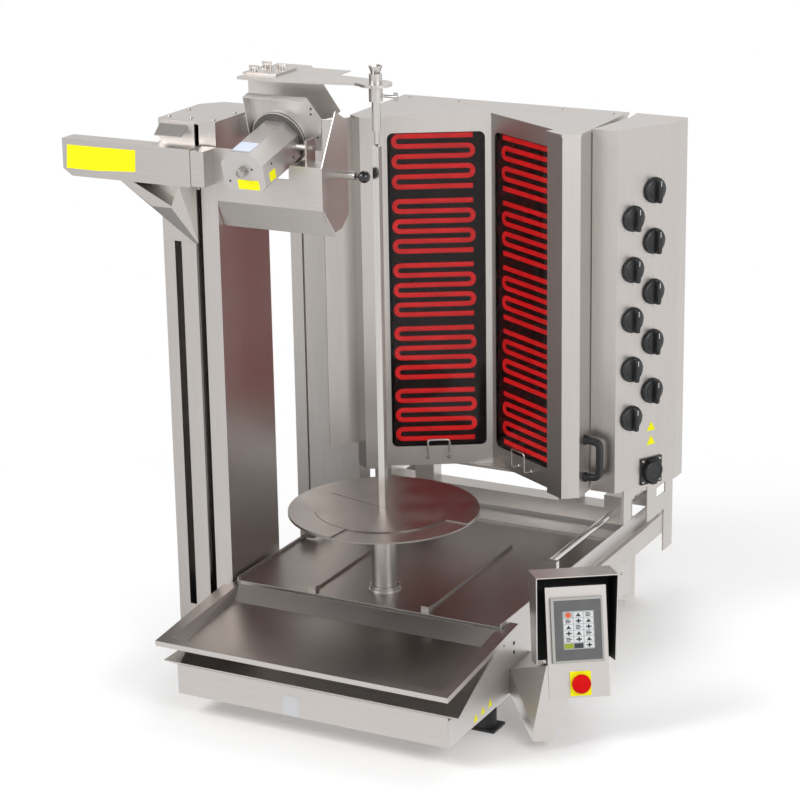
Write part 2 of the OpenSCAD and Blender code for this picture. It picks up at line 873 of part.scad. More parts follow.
module spit_motor() color("dimgray") place() translate([0, pinion_y, sheet]) difference() {
    cylinder(r = motor_r, h = motor_top - sheet);
    translate([0, 0, motor_top / 2 - sheet - gap]) cylinder(r = motor_shaft_r + fit, h = motor_top);
}

// Rods and rails that carry the heater
module heater_guides() color("lightgray") place() both_sides() {
    rod_along_y(rod_x0, rod_y0, rod_y1, rod_z, rod_r);
    box_at(half_w - support_w, half_w, rod_y0, rod_y0 + support_l, side_h, rod_z + rod_r + 2 * sheet);
    box_at(half_w - support_w, half_w, band_y - support_l, band_y, side_h, rod_z + rod_r + 2 * sheet);
    difference() {
        box_at(half_w, half_w + slide_t, slide_y0, slide_y1, slide_z0, slide_z1);
        box_at(half_w + slide_wall, half_w + slide_t + over, slide_y0 - over, slide_y1 + over,
            slide_z0 + slide_wall, slide_z1 - slide_wall);
    }
}
module crossbeam() color("gainsboro") place() {
    box_at(-half_w + block_w - over, half_w - block_w + over, block_y0, beam_y1, block_z0, beam_top);
    both_sides() difference() {
        box_at(half_w - block_w, half_w, block_y0, block_y0 + block_l, block_z0, block_z1);
        rod_along_y(rod_x0, block_y0 - over, block_y0 + block_l + over, rod_z, rod_r + fit);
    }
    both_sides() box_at(foot_post_x, foot_post_x + foot_post_w, block_y0, block_y0 + foot_post_d,
        beam_top - over, heater_z - bed_h + over);
    box_at(-frame_x - frame_t, frame_x + frame_t, frame_y0, heater_rear_y, heater_z - bed_h, heater_z);
}
frame_points = [[frame_y0, post_z0], [frame_y0, heater_z - bed_h], [frame_rear, heater_z - bed_h],
    [frame_rear, frame_tab_z0], [frame_tab_y, frame_tab_z0], [frame_tab_y, frame_z0], [window_y1, frame_z0],
    [window_y1, window_z1], [window_y0, window_z1], [window_y0, post_z0]];
module side_frames() color("gainsboro") place() both_sides() {
    difference() {
        plate_yz(frame_x, frame_x + frame_t, frame_points);
        box_at(frame_x - over, frame_x + frame_t + over, window2_y0, window2_y1, post_z0, window2_z1);
    }
    box_at(half_w + slide_wall + gap, frame_x + over, slide_y0 + inner_z_in, frame_rear - inner_z_in,
        slide_z0 + slide_wall + gap, slide_z1 - slide_wall - gap);
}

// Heater: points on the right panel's plane, s along it and out in front of it
function panel_point(s, out) = [s * cos(panel_angle) - out * sin(panel_angle),
    meet_y - s * sin(panel_angle) - out * cos(panel_angle)];
function heater_outline(inset) = let (right = [
    [0, meet_y + inset / cos(panel_angle)],
    panel_point(strip_s0 + inset, -inset), panel_point(strip_s0 + inset, strip_out - inset),
    panel_point(strip_s1, strip_out - inset), [heater_hw - inset, heater_front_y + inset / 2],
    [heater_hw - inset, heater_rear_y - inset]])
    concat(right, [for (i = [len(right) - 1:-1:1]) [-right[i][0], right[i][1]]]);
module on_panel() translate([0, meet_y, 0]) rotate([0, 0, -panel_angle]) children();
module both_panels() both_sides() on_panel() children();
module heater_housing() color("silver") place() difference() {
    translate([0, 0, heater_z]) linear_extrude(height = heater_h) polygon(heater_outline(0));
    translate([0, 0, heater_z + sheet]) linear_extrude(height = heater_h - 2 * sheet)
        polygon(heater_outline(sheet));
    both_panels() box_at(glass_s0 - window_in, glass_s0 + glass_w + window_in / 2, -over, insulation_t,
        glass_z - window_in, glass_z + glass_h + window_in);
}
module heater_cover() color("gainsboro") place() translate([0, 0, heater_z + heater_h])
    linear_extrude(height = cover_h) polygon(heater_outline(-cover_over / 2));
module panel_frames() color("silver") place() both_panels() difference() {
    box_at(sheet, strip_s0 - gap, -frame_sheet, 0, heater_z, heater_z + heater_h);
    rotate([90, 0, 0]) translate([0, 0, -over]) linear_extrude(height = frame_sheet + 2 * over)
        rounded(glass_s0, glass_s0 + glass_w - glass_s0 / 2, glass_z, glass_z + glass_h, glass_round);
}
module glass_panels() color("black") place() both_panels() rotate([90, 0, 0])
    translate([0, 0, frame_sheet - glass_t]) linear_extrude(height = glass_t)
        rounded(glass_s0 + gap, glass_s0 + glass_w - glass_s0 / 2 - gap, glass_z + gap,
            glass_z + glass_h - gap,
            glass_round - gap);
// One zone's serpentine: bars joined by half rings at alternate ends
module serpentine() {
    r = bar_pitch / 2;
    for (i = [0:bars - 1])
        translate([bar_s0 + r, -i * bar_pitch - bar_w]) square([bar_s1 - bar_s0 - 2 * r, bar_w]);
    for (i = [0:bars - 2])
        translate([i % 2 == 0 ? bar_s1 - r : bar_s0 + r, -i * bar_pitch - r - bar_w / 2]) difference() {
            circle(r = r + bar_w / 2);
            circle(r = r - bar_w / 2);
            translate([i % 2 == 0 ? -2 * bar_pitch : 0, -bar_pitch]) square([2 * bar_pitch, 2 * bar_pitch]);
        }
}
module heating_elements() color("red") place() both_panels() rotate([90, 0, 0])
    translate([0, 0, frame_sheet - glass_t - element_t]) linear_extrude(height = element_t)
        for (zone = [0:zones - 1]) translate([0, first_bar_z - zone * zone_pitch]) serpentine();
module insulation() color("white") place() both_panels()
    box_at(glass_s0 + sheet, glass_s0 + glass_w - glass_s0, glass_t - frame_sheet + element_t,
        insulation_t, glass_z + sheet, glass_z + glass_h - sheet);
module panel_bails() color("silver") place() both_panels() {
    for (s = [bail_s0, bail_s0 + bail_w]) {
        rod_along_y(s, -bail_out, -frame_sheet, bail_z0, bail_r);
        translate([s, -bail_out, bail_z0]) cylinder(r = bail_r, h = bail_z1 - bail_z0);
        translate([s, -bail_out, bail_z0]) sphere(r = bail_r);
        translate([s, -bail_out, bail_z1]) sphere(r = bail_r);
    }
    rod_along_x(bail_s0, bail_s0 + bail_w, -bail_out, bail_z1, bail_r);
}
module left_shield() color("gainsboro") place() {
    translate([0, 0, wing_z0]) linear_extrude(height = heater_z + heater_h - wing_z0) polygon([
        [-heater_hw, heater_front_y], [-heater_hw - wing_dx, heater_front_y - wing_dy],
        [-heater_hw - wing_dx - sheet, heater_front_y - wing_dy + sheet],
        [-heater_hw - sheet, heater_front_y + 2 * sheet], [-heater_hw, heater_front_y + 2 * sheet]]);
    difference() {
        union() {
            box_at(-heater_hw - column_w, -heater_hw, heater_front_y + sheet, heater_front_y + column_d,
                column_low_z, column_z1);
            box_at(-heater_hw - column_w, -half_w - 2 * sheet, heater_front_y + sheet,
                heater_front_y + column_d, column_z0, column_z1);
        }
        box_at(-column_seam_x - column_seam_w, -column_seam_x, heater_front_y,
            heater_front_y + 2 * sheet + column_seam_d, column_z0 - over, column_z1 + over);
    }
}
module side_handle() color("black") place() {
    for (z = [handle_z0 + handle_r, handle_z1 - handle_r])
        rod_along_x(heater_hw, heater_hw + handle_out, handle_y, z, handle_r);
    translate([heater_hw + handle_out, handle_y, handle_z0]) cylinder(r = handle_r,
        h = handle_z1 - handle_z0);
}

// Control box with its knob face
box_outline = [box_a, box_b, box_c, [box_right, box_c[1] + bevel_rise], [box_right, box_d_y], box_e, box_f];
box_inner = [box_a + [2 * box_wall, box_wall], box_b + [-box_wall / 2, box_wall],
    box_c + [-box_wall, box_wall / 2], [box_right - box_wall, box_c[1] + bevel_rise],
    [box_right - box_wall, box_d_y - box_wall], box_e + [box_wall, -box_wall], box_f + [box_wall, 0]];
module on_face() translate([box_b[0], box_b[1], 0]) rotate([0, 0, face_angle]) children();
function knob_t(i) = i % 2 == 0 ? knob_t1 : knob_t2;
module at_knob(i) on_face() translate([knob_t(i), 0, knob_z[i]]) rotate([90, 0, 0]) children();
module control_box() color("silver") place() difference() {
    translate([0, 0, heater_z]) linear_extrude(height = box_top - heater_z) polygon(box_outline);
    translate([0, 0, heater_z + box_wall]) linear_extrude(height = box_top - heater_z - 2 * box_wall)
        polygon(box_inner);
    for (i = [0:9]) at_knob(i) translate([0, 0, -2 * box_wall]) cylinder(r = knob_stem_r + fit,
        h = 4 * box_wall);
    on_face() box_at(knob_t1 - lid_r / 2, knob_t1 + lid_r / 2, -over, 3 * box_wall, socket_z - lid_r / 2,
        socket_z + lid_r / 2);
}
module heat_switches() color("dimgray") place() for (i = [0:9]) at_knob(i) difference() {
    translate([-switch_w / 2, -switch_w / 2, -switch_d]) cube([switch_w, switch_w, switch_d - 2 * box_wall]);
    translate([0, 0, -switch_d / 2]) cylinder(r = knob_stem_r + fit, h = switch_d);
}
module knob(i) color("darkslategray") place() at_knob(i) {
    translate([0, 0, -switch_d / 2 + gap]) cylinder(r = knob_stem_r,
        h = switch_d / 2 + knob_off + knob_skirt_h);
    translate([0, 0, knob_off]) cylinder(r = knob_d / 2, h = knob_skirt_h);
    translate([0, 0, knob_off + knob_skirt_h]) cylinder(r1 = knob_d / 2 - knob_skirt_h,
        r2 = knob_d / 2 - 1.4 * knob_skirt_h,
        h = knob_h / 3);
    translate([-knob_grip_w / 2, -knob_d / 2 + sheet, knob_off + knob_skirt_h])
        cube([knob_grip_w, knob_d - 2 * sheet, knob_h - knob_skirt_h]);
}
module inlet_socket() color("black") place() on_face() {
    box_at(knob_t1 - socket_w / 2, knob_t1 + socket_w / 2, -socket_t, 0, socket_z - socket_h / 2,
        socket_z + socket_h / 2);
    box_at(knob_t1 - lid_r / 2 + gap, knob_t1 + lid_r / 2 - gap, 0, switch_d, socket_z - lid_r / 2 + gap,
        socket_z + lid_r / 2 - gap);
}
module inlet_lid() color("black") place() on_face() translate([knob_t1, -socket_t - gap, socket_z]) {
    rotate([90, 0, 0]) cylinder(r = lid_r, h = lid_h);
    rod_along_x(-lid_r / 2, lid_r / 2, -hinge_r, lid_r, hinge_r);
}

// Tower with its slots, brackets and lift drive
tower_outline = [[-tower_x1, tower_y0], [-tower_x1, tower_y0 + tower_d],
    [-tower_x0 + tower_cut, tower_y0 + tower_d], [-tower_x0, tower_y0 + tower_d - tower_cut], [-tower_x0,
        tower_y0]];
tower_inner = [[-tower_x1 - sheet, tower_y0 + sheet], [-tower_x1 - sheet, tower_y0 + tower_d - sheet],
    [-tower_x0 + tower_cut, tower_y0 + tower_d - sheet], [-tower_x0 + sheet, tower_y0 + tower_d - tower_cut],
    [-tower_x0 + sheet, tower_y0 + sheet]];
module tower_shell() color("silver") place() {
    difference() {
        translate([0, 0, -foot_h]) linear_extrude(height = tower_h) polygon(tower_outline);
        translate([0, 0, -foot_h + sheet]) linear_extrude(height = tower_h - 2 * sheet) polygon(tower_inner);
        for (x = [slot_x1, slot_x2])
            box_at(-x, -x + slot_w, tower_y0 - over, tower_y0 + 2 * sheet, slot_z0, tower_top - slot_margin);
    }
    for (z = [sheet, floor_z - tower_w / 2])
        box_at(-tower_x1 - sheet / 2, -half_w, tower_y0 + tower_d / 2, tower_y0 + tower_d - sheet, z,
            z + tower_w / 4);
}
module lift_screw() color("lightgray") place() translate([-tower_mid, screw_y, motor_h / 2 - foot_h])
    cylinder(r = screw_r, h = tower_h - motor_h / 2 - 3 * sheet);
module lift_motor() color("dimgray") place() translate([-tower_mid, screw_y, -foot_h + sheet]) difference() {
    translate([-motor_r, -motor_r, 0]) cube([2 * motor_r, 2 * motor_r, motor_h]);
    translate([0, 0, motor_h / 2 - sheet - gap]) cylinder(r = screw_r + fit, h = motor_h);
}
module lift_rails() color("lightgray") place() for (x = [-rail_x, rail_x])
    translate([-tower_mid + x, screw_y, -foot_h + sheet]) cylinder(r = rail_r, h = tower_h - 2 * sheet);

// Carriage that the screw lifts: back plate, tongues through the slots, nut block
plate_y1 = tower_y0 - plate_gap;
plate_y0 = plate_y1 - slider_t;
module lift_slider() color("silver") place() {
    box_at(-slider_x0, -slider_x1, plate_y0, plate_y1, slider_z0, slider_z1);
    plate_yz(-slider_x0, -slider_x0 + flap_w, [[plate_y1, slider_z1], [plate_y0 - flap_out,
        slider_z1 - flap_fall],
        [plate_y0 - flap_out, slider_z1 - flap_fall - sheet], [plate_y1, slider_z1 - 2 * sheet]]);
    for (x = [slot_x1, slot_x2])
        box_at(-x + tongue_side, -x + slot_w - tongue_side, plate_y1 - over, screw_y - nut_d / 2 + over,
            nut_z0,
            nut_z0 + nut_h);
    difference() {
        box_at(-tower_mid - nut_w / 2, -tower_mid + nut_w / 2, screw_y - nut_d / 2, screw_y + nut_d / 2,
            nut_z0,
            nut_z0 + nut_h);
        for (x = [-rail_x, rail_x])
            translate([-tower_mid + x, screw_y, nut_z0 - over]) cylinder(r = rail_r + fit,
                h = nut_h + 2 * over);
        translate([-tower_mid, screw_y, nut_z0 - over]) cylinder(r = screw_r + fit, h = nut_h + 2 * over);
    }
}
arm_y0 = plate_y0 - arm_d;
module plate_xz(y0, y1, points) translate([0, y1, 0]) rotate([90, 0,
    0]) linear_extrude(height = y1 - y0) polygon(points);
module arm_box() color("silver") place() {
    difference() {
        plate_xz(arm_y0, plate_y0, [[-arm_left, arm_z0 + arm_cut_z], [-arm_left + arm_cut_x, arm_z0],
            [-arm_right, arm_z0], [-arm_right, arm_z0 + arm_h], [-arm_left, arm_z0 + arm_h]]);
        plate_xz(arm_y0 + sheet, plate_y0 - sheet, [[-arm_left + sheet, arm_z0 + arm_cut_z],
            [-arm_left + arm_cut_x, arm_z0 + sheet], [-arm_right + over, arm_z0 + sheet],
            [-arm_right + over, arm_z0 + arm_h - sheet], [-arm_left + sheet, arm_z0 + arm_h - sheet]]);
    }
    difference() {
        hull() {
            plate_xz(arm_y0, arm_y0 + sheet, [[-gusset_x0, arm_z0 + over], [-gusset_mid_x, gusset_mid_z],
                [-gusset_in_x, gusset_mid_z], [-gusset_tip_x, arm_z0 + over]]);
            plate_xz(plate_y0 - sheet, plate_y0, [[-gusset_x0, arm_z0 + over], [-gusset_mid_x, gusset_back_z],
                [-gusset_low_x, slider_z0], [-slider_x1, slider_z0], [-slider_x1, arm_z0 + over]]);
        }
        plate_xz(arm_y0 - over, plate_y0 - 2 * sheet, [[-gusset_x0 + gusset_rim, arm_z0],
            [-gusset_in_x, gusset_mid_z + 2 * sheet], [-gusset_tip_x - 2 * sheet, arm_z0]]);
    }
}

// Feed carriage, which the tube guides along the arm
front_y1 = plate_y0 - gap;
front_y0 = front_y1 - front_t;
module in_head() translate([-head_x, head_y, head_z]) rotate([head_tilt, 0, 0]) children();
pivot_y = head_y + head_pivot * cos(head_tilt);
pivot_z = head_z + head_pivot * sin(head_tilt);
module carriage_plate() color("silver") place() {
    difference() {
        box_at(-feed_tube_x0, -feed_tube_x1, arm_y0 + sheet + gap, plate_y0 - sheet - gap,
            arm_z0 + sheet + gap,
            arm_z0 + arm_h - sheet - gap);
        box_at(-feed_tube_x0 - over, -feed_tube_x1 - sheet, arm_y0 + 2 * sheet, plate_y0 - 2 * sheet,
            arm_z0 + 2 * sheet, arm_z0 + arm_h - 2 * sheet);
    }
    plate_xz(front_y0, front_y1, [[-skirt_x0, fold_z], [-front_x1, fold_z], [-front_x1, shelf_z],
        [-notch_x1, shelf_z], [-notch_x1, notch_z], [-notch_x0, notch_z], [-notch_x0, arm_z0 + arm_h],
        [-front_x0, arm_z0 + arm_h], [-front_x0, arm_z0], [-skirt_x0, arm_z0]]);
    strip([[-skirt_x0, front_y1, fold_z + sheet], [-front_x1, front_y1, fold_z + sheet]],
        [[-skirt_x0, front_y0 + skirt_back, skirt_z], [-front_x1 + skirt_flare, front_y0 + skirt_back,
            skirt_z]],
        sheet);
    box_at(-notch_x1, -front_x1, front_y0, front_y0 + shelf_d, shelf_z - sheet, shelf_z);
    difference() {
        plate_yz(-front_x1 - sheet, -front_x1, [[front_y0, shelf_z], [front_y0, fold_z],
            [front_y0 + skirt_back, skirt_z], [side_low_y, side_low_z], [side_rear_y,
                side_low_z + side_low_rise],
            [side_rear_y, side_rear_z], [side_top_y, side_top_z]]);
        rod_along_x(-front_x1 - sheet - over, -front_x1 + over, plunger_y, plunger_z, plunger_r + fit);
    }
    difference() {
        rod_along_x(-front_x1, -front_x1 + barrel_len, plunger_y, plunger_z, barrel_r);
        rod_along_x(-front_x1 - over, -front_x1 + barrel_len + over, plunger_y, plunger_z, plunger_r + fit);
    }
    difference() {
        box_at(-pivot_x0, -pivot_x1, pivot_y - 3 * pivot_r, pivot_y + 3 * pivot_r, shelf_z - over,
            pivot_z + 3 * pivot_r);
        rod_along_x(-pivot_x0 - over, -pivot_x1 + over, pivot_y, pivot_z, pivot_r + fit);
    }
}
module plunger() color("black") place() {
    rod_along_x(-front_x1 - plunger_tail, -ball_x, plunger_y, plunger_z, plunger_r);
    translate([-ball_x, plunger_y, plunger_z]) sphere(r = ball_r);
}

// Cutting head: housing, guard, blade and the thickness knob
module head_housing() color("silver") place() {
    in_head() difference() {
        union() {
            plate_xz(0, head_len, [[-head_w / 2 + head_cut_low, -head_h / 2], [head_w / 2 - head_cut_low,
                -head_h / 2],
                [head_w / 2, -head_h / 2 + head_cut_low], [head_w / 2, head_h / 2 - head_cut],
                [head_w / 2 - head_cut, head_h / 2], [-head_w / 2 + head_cut, head_h / 2],
                [-head_w / 2, head_h / 2 - head_cut], [-head_w / 2, -head_h / 2 + head_cut_low]]);
            rod_along_y(0, head_len - guard_deep, head_len + guard_t, 0, guard_r);
            plate_xz(head_len - sheet, head_len, [[-carrier_left, -carrier_down], [carrier_foot,
                -carrier_down],
                [carrier_wing, carrier_wing_z], [carrier_right, carrier_up], [-carrier_left, carrier_up]]);
            box_at(-carrier_left, carrier_right, head_len - carrier_deep, head_len, carrier_up - sheet,
                carrier_up);
            box_at(-carrier_left, sheet - carrier_left, head_len - carrier_deep, head_len, -carrier_down,
                carrier_up);
        }
        rod_along_y(0, head_len - blade_shaft_in - gap, head_len + guard_t + over, 0, blade_shaft_r + fit);
        rod_along_y(0, -over, blade_shaft_in + gap, knob_up, feed_stem_r + fit);
    }
    rod_along_x(-head_x + head_w / 2 - over, -pivot_x1 + pivot_r, pivot_y, pivot_z, pivot_r);
}
module blade() color("lightgray") place() in_head() {
    rod_along_y(0, head_len - blade_shaft_in, head_len + guard_t + blade_gap, 0, blade_shaft_r);
    rod_along_y(0, head_len + guard_t + blade_gap, head_len + guard_t + blade_gap + blade_t, 0, blade_r);
    rod_along_y(0, head_len + guard_t + blade_gap, head_len + guard_t + 2 * blade_gap, 0, 2 * blade_shaft_r);
}
module head_knob() color("gray") place() in_head() {
    rod_along_y(0, -feed_knob_h, -gap, knob_up, feed_knob_r);
    rod_along_y(0, -gap, blade_shaft_in, knob_up, feed_stem_r);
}

// Bracket on the tower, clamp, swinging arm and lifting spindle
module top_bracket() color("silver") place() {
    box_at(-bracket_x0, -bracket_x1, bracket_y, bracket_y + bracket_d, bracket_top - sheet, bracket_top);
    box_at(-bracket_x0, -bracket_x0 + sheet, bracket_y, bracket_y + bracket_d - tower_cut,
        bracket_top - bracket_side_h,
        bracket_top);
    box_at(-tower_x1, -bracket_x0, bracket_y + sheet, bracket_y + bracket_d / 2, bracket_top - bracket_side_h,
        tower_top - 2 * sheet);
    plate_xz(bracket_y, bracket_y + sheet, [[-bracket_x0, bracket_top], [-bracket_x0,
        bracket_top - bracket_front_h],
        [-bracket_in_x, bracket_top - bracket_front_h], [-bracket_low_x, bracket_low_z],
        [-bracket_tip_x, bracket_tip_z], [-bracket_x1, bracket_top]]);
}
arm_z = bracket_top + gap;
module arm_clamp() color("silver") place() translate([-arm_pivot_x, arm_pivot_y, 0]) {
    translate([0, 0, bracket_top]) cylinder(r = arm_stud_r, h = arm_t + 2 * gap + clamp_t + wing_nut_h);
    translate([-clamp_w / 2, -clamp_d / 2, arm_z + arm_t + gap]) cube([clamp_w, clamp_d, clamp_t]);
    for (spot = [wing_near, wing_far, wing_side]) translate([spot[0], spot[1],
        arm_z + arm_t + gap + clamp_t]) {
        cylinder(r = wing_nut_r, h = wing_nut_h);
        translate([-wing_w / 2, -wing_t / 2, wing_nut_h / 2]) cube([wing_w, wing_t, wing_h]);
    }
}
module spit_arm() color("silver") place() difference() {
    union() {
        translate([0, 0, arm_z]) linear_extrude(height = arm_t) {
            translate([0, spit_y]) circle(r = arm_end_r);
            polygon([[arm_end_r / 4, spit_y - arm_end_r], [-arm_front_run, spit_y - arm_end_r / 2],
                [-arm_pivot_x + arm_plate_in, spit_y - arm_plate_front],
                [-arm_pivot_x - arm_plate_side, spit_y - arm_plate_front],
                [-arm_pivot_x - arm_plate_side, arm_pivot_y + arm_plate_rear],
                [-arm_pivot_x + arm_plate_in, arm_pivot_y + arm_plate_rear],
                [-arm_step_x, spit_y + arm_step_back], [0, spit_y + arm_end_r]]);
        }
        translate([0, spit_y, arm_z - sleeve_low]) cylinder(r = sleeve_r, h = sleeve_low);
        translate([0, spit_y, arm_z]) cylinder(r = sleeve_up_r, h = arm_t + sleeve_up);
    }
    translate([0, spit_y, arm_z - sleeve_low - over]) cylinder(r = spindle_r + fit,
        h = sleeve_low + arm_t + sleeve_up + 2 * over);
    rod_along_x(0, sleeve_r + over, spit_y, arm_z - thumb_z, thumb_r + fit);
    translate([-arm_pivot_x, arm_pivot_y, arm_z - over]) cylinder(r = arm_stud_r + fit, h = arm_t + 2 * over);
}
spindle_z0 = disc_top + bar_len + gap;
sleeve_top = arm_z + arm_t + sleeve_up;
module spindle() color("silver") place() translate([0, spit_y, 0]) rotate_extrude() polygon([
    [0, spindle_z0], [spindle_tip_r / 2, spindle_z0], [spindle_tip_r, spindle_z0 + spindle_tip_r],
    [spindle_tip_r, spindle_z0 + spindle_tip], [spindle_r, spindle_z0 + spindle_tip],
    [spindle_r, sleeve_top + gap], [funnel_r, sleeve_top + gap + funnel_h],
    [funnel_r - sheet, sleeve_top + gap + funnel_h], [0, sleeve_top + gap + funnel_h / 2]]);
module thumb_screw() color("gray") place() {
    rod_along_x(spindle_r + gap, spindle_r + thumb_len, spit_y, arm_z - thumb_z, thumb_r);
    box_at(spindle_r + thumb_len - thumb_wing / 2, spindle_r + thumb_len, spit_y - wing_t / 2,
        spit_y + wing_t / 2,
        arm_z - thumb_z - thumb_wing / 2, arm_z - thumb_z + thumb_wing / 2);
}

// Control panel under its hood, on a tapered arm from the base's right side
module in_hmi() translate(hmi_corner) rotate([0, 0, hmi_turn]) rotate([-hmi_tilt, 0, 0]) children();
module skewed_box(p) polyhedron(p, [[0, 1, 2], [0, 2, 3], [4, 5, 1], [4, 1, 0], [7, 6, 5], [7, 5, 4],
    [5, 6, 2], [5, 2, 1], [6, 7, 3], [6, 3, 2], [7, 4, 0], [7, 0, 3]]);
module hood(inset, open) {
    x0 = -hood_side + inset;
    x1 = hmi_w + hood_over - inset;
    y0 = -hood_out - open;
    y1 = hood_deep - inset;
    skewed_box([[x0 - hood_lean_left, y0, -hood_drop - open], [x1 - hood_lean_right, y0, -hood_drop - open],
        [x1 - hood_lean_right, y1 - hood_cut, -hood_drop - open],
        [x0 - hood_lean_left, y1 - hood_cut, -hood_drop - open],
        [x0, y0, hood_up - inset], [x1, y0, hood_up - inset],
        [x1, y1, hood_up + hood_rise - inset], [x0, y1, hood_up + hood_rise - inset]]);
}
module hmi_support() color("silver") place() {
    in_hmi() difference() {
        hood(0, 0);
        hood(hood_t, over);
    }
    in_hmi() box_at(hood_post_x, hood_post_x + hood_post_w, hmi_d, hood_deep - hood_cut + 4 * hood_t,
        -hood_post_z,
        -hood_post_z + hood_post_h);
    hull() {
        box_at(half_w, half_w + sheet, arm_root_y0, arm_root_y1, arm_root_z0, arm_root_z1);
        in_hmi() box_at(low_x, -gap, 0, low_d, -low_z, -low_z + low_h);
        in_hmi() box_at(-gap - cheek_t, -gap, sheet, hmi_d - sheet, -hmi_h, -hmi_h + cheek_up);
    }
    hull() {
        in_hmi() box_at(low_x, low_x + low_w, 0, low_d, -low_z, -low_z + low_h);
        in_hmi() box_at(0, low_w, sheet, hmi_d - sheet, -hmi_h - sheet, -hmi_h);
    }
}
module hmi_panel() color("gainsboro") place() in_hmi() difference() {
    union() {
        box_at(0, hmi_w, 0, hmi_d, -hmi_h, 0);
        box_at(stop_x - stop_plate_w / 2, stop_x + stop_plate_w / 2, -stop_plate_t, over,
            -stop_z - stop_plate_h / 2,
            -stop_z + stop_plate_h / 2);
    }
    rod_along_y(stop_x, -stop_plate_t - over, stop_in + gap + stop_gap, -stop_z, stop_stem_r + fit);
}
module hmi_screen() color("dimgray") place() in_hmi() difference() {
    box_at(screen_x, screen_x + screen_w, -screen_t, 0, -screen_z - screen_h, -screen_z);
    box_at(screen_x + display_x, screen_x + display_x + display_w, -screen_t - over, -screen_t + display_in,
        -screen_z - display_z - display_h, -screen_z - display_z);
}
module stop_button() color("red") place() in_hmi() translate([stop_x, -stop_plate_t - stop_gap, -stop_z])
    rotate([90, 0, 0]) {
        cylinder(r = stop_d / 2, h = stop_h * 0.6);
        translate([0, 0, stop_h * 0.6]) cylinder(r1 = stop_d / 2, r2 = stop_d / 2 - stop_h * 0.4,
            h = stop_h * 0.4);
        translate([0, 0, -stop_in]) cylinder(r = stop_stem_r, h = stop_in + over);
    }

base_housing();
drawer_pan();
catch_tray();
floor_tray();
feet();
rear_legs();
floor_collar();
spit_bearings();
pedestal();
spit_disc();
spit_bar();
drive_gear();
drive_pinion();
spit_motor();
heater_guides();
crossbeam();
side_frames();
heater_housing();
heater_cover();
glass_panels();
panel_frames();
heating_elements();
insulation();
panel_bails();
left_shield();
side_handle();
control_box();
heat_switches();
knob(0);  // knob_1
knob(1);  // knob_2
knob(2);  // knob_3
knob(3);  // knob_4
knob(4);  // knob_5
knob(5);  // knob_6
knob(6);  // knob_7
knob(7);  // knob_8
knob(8);  // knob_9
knob(9);  // knob_10
inlet_socket();
inlet_lid();
tower_shell();
lift_screw();
lift_motor();
lift_rails();
lift_slider();
arm_box();
carriage_plate();
head_housing();
blade();
head_knob();
plunger();
top_bracket();
arm_clamp();
spit_arm();
spindle();
thumb_screw();
hmi_support();
hmi_panel();
hmi_screen();
stop_button();
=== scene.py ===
"""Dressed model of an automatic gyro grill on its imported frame.

The drawing frame is in millimetres: x from the spit towards the control panel,
y from the drawer's front towards the heater, z up from the base's underside.
"""

import json
import logging
import math
from dataclasses import dataclass, field
from enum import Enum

import bmesh
import bpy
from mathutils import Matrix, Vector

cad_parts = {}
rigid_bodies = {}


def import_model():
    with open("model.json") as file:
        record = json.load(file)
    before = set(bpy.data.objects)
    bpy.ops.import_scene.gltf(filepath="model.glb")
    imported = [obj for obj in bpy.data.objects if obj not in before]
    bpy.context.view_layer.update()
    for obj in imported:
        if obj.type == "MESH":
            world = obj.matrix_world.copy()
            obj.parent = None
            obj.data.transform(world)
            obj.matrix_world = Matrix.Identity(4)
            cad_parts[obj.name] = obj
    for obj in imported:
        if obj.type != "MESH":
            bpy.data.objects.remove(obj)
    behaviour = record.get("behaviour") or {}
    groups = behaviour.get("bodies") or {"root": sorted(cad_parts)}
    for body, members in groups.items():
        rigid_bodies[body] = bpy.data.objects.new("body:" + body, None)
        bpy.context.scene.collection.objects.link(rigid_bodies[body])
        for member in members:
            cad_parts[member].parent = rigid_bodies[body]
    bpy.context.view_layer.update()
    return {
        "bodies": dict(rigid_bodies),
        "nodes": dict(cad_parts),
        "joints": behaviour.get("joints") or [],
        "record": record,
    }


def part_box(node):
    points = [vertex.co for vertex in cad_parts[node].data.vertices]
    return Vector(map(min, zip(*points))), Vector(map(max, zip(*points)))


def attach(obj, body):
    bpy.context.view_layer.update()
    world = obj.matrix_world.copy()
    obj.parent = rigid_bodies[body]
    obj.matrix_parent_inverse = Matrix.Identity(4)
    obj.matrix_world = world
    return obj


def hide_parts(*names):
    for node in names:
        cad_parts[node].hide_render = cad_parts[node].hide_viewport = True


log = logging.getLogger("gyro_grill")

Tree = bpy.types.NodeTree
Socket = bpy.types.NodeSocket
Point = tuple[float, float, float]
Pair = tuple[float, float]
Rect = tuple[float, float, float, float]
Outline = list[Pair] | tuple[Pair, ...]

SPIT_Y = 343.0
BAR_FOOT_Z = 356.0
MM_PER_M = 1000
FILM_T = 0.3
SHARP_ANGLE = math.radians(32)
UP, FRONT, RIGHT = Vector((0, 0, 1)), Vector((0, -1, 0)), Vector((1, 0, 0))
WHITE = (1, 1, 1, 1)


class Axis(Enum):
    """Direction of a brushed grain."""

    X = 0
    Y = 1
    Z = 2


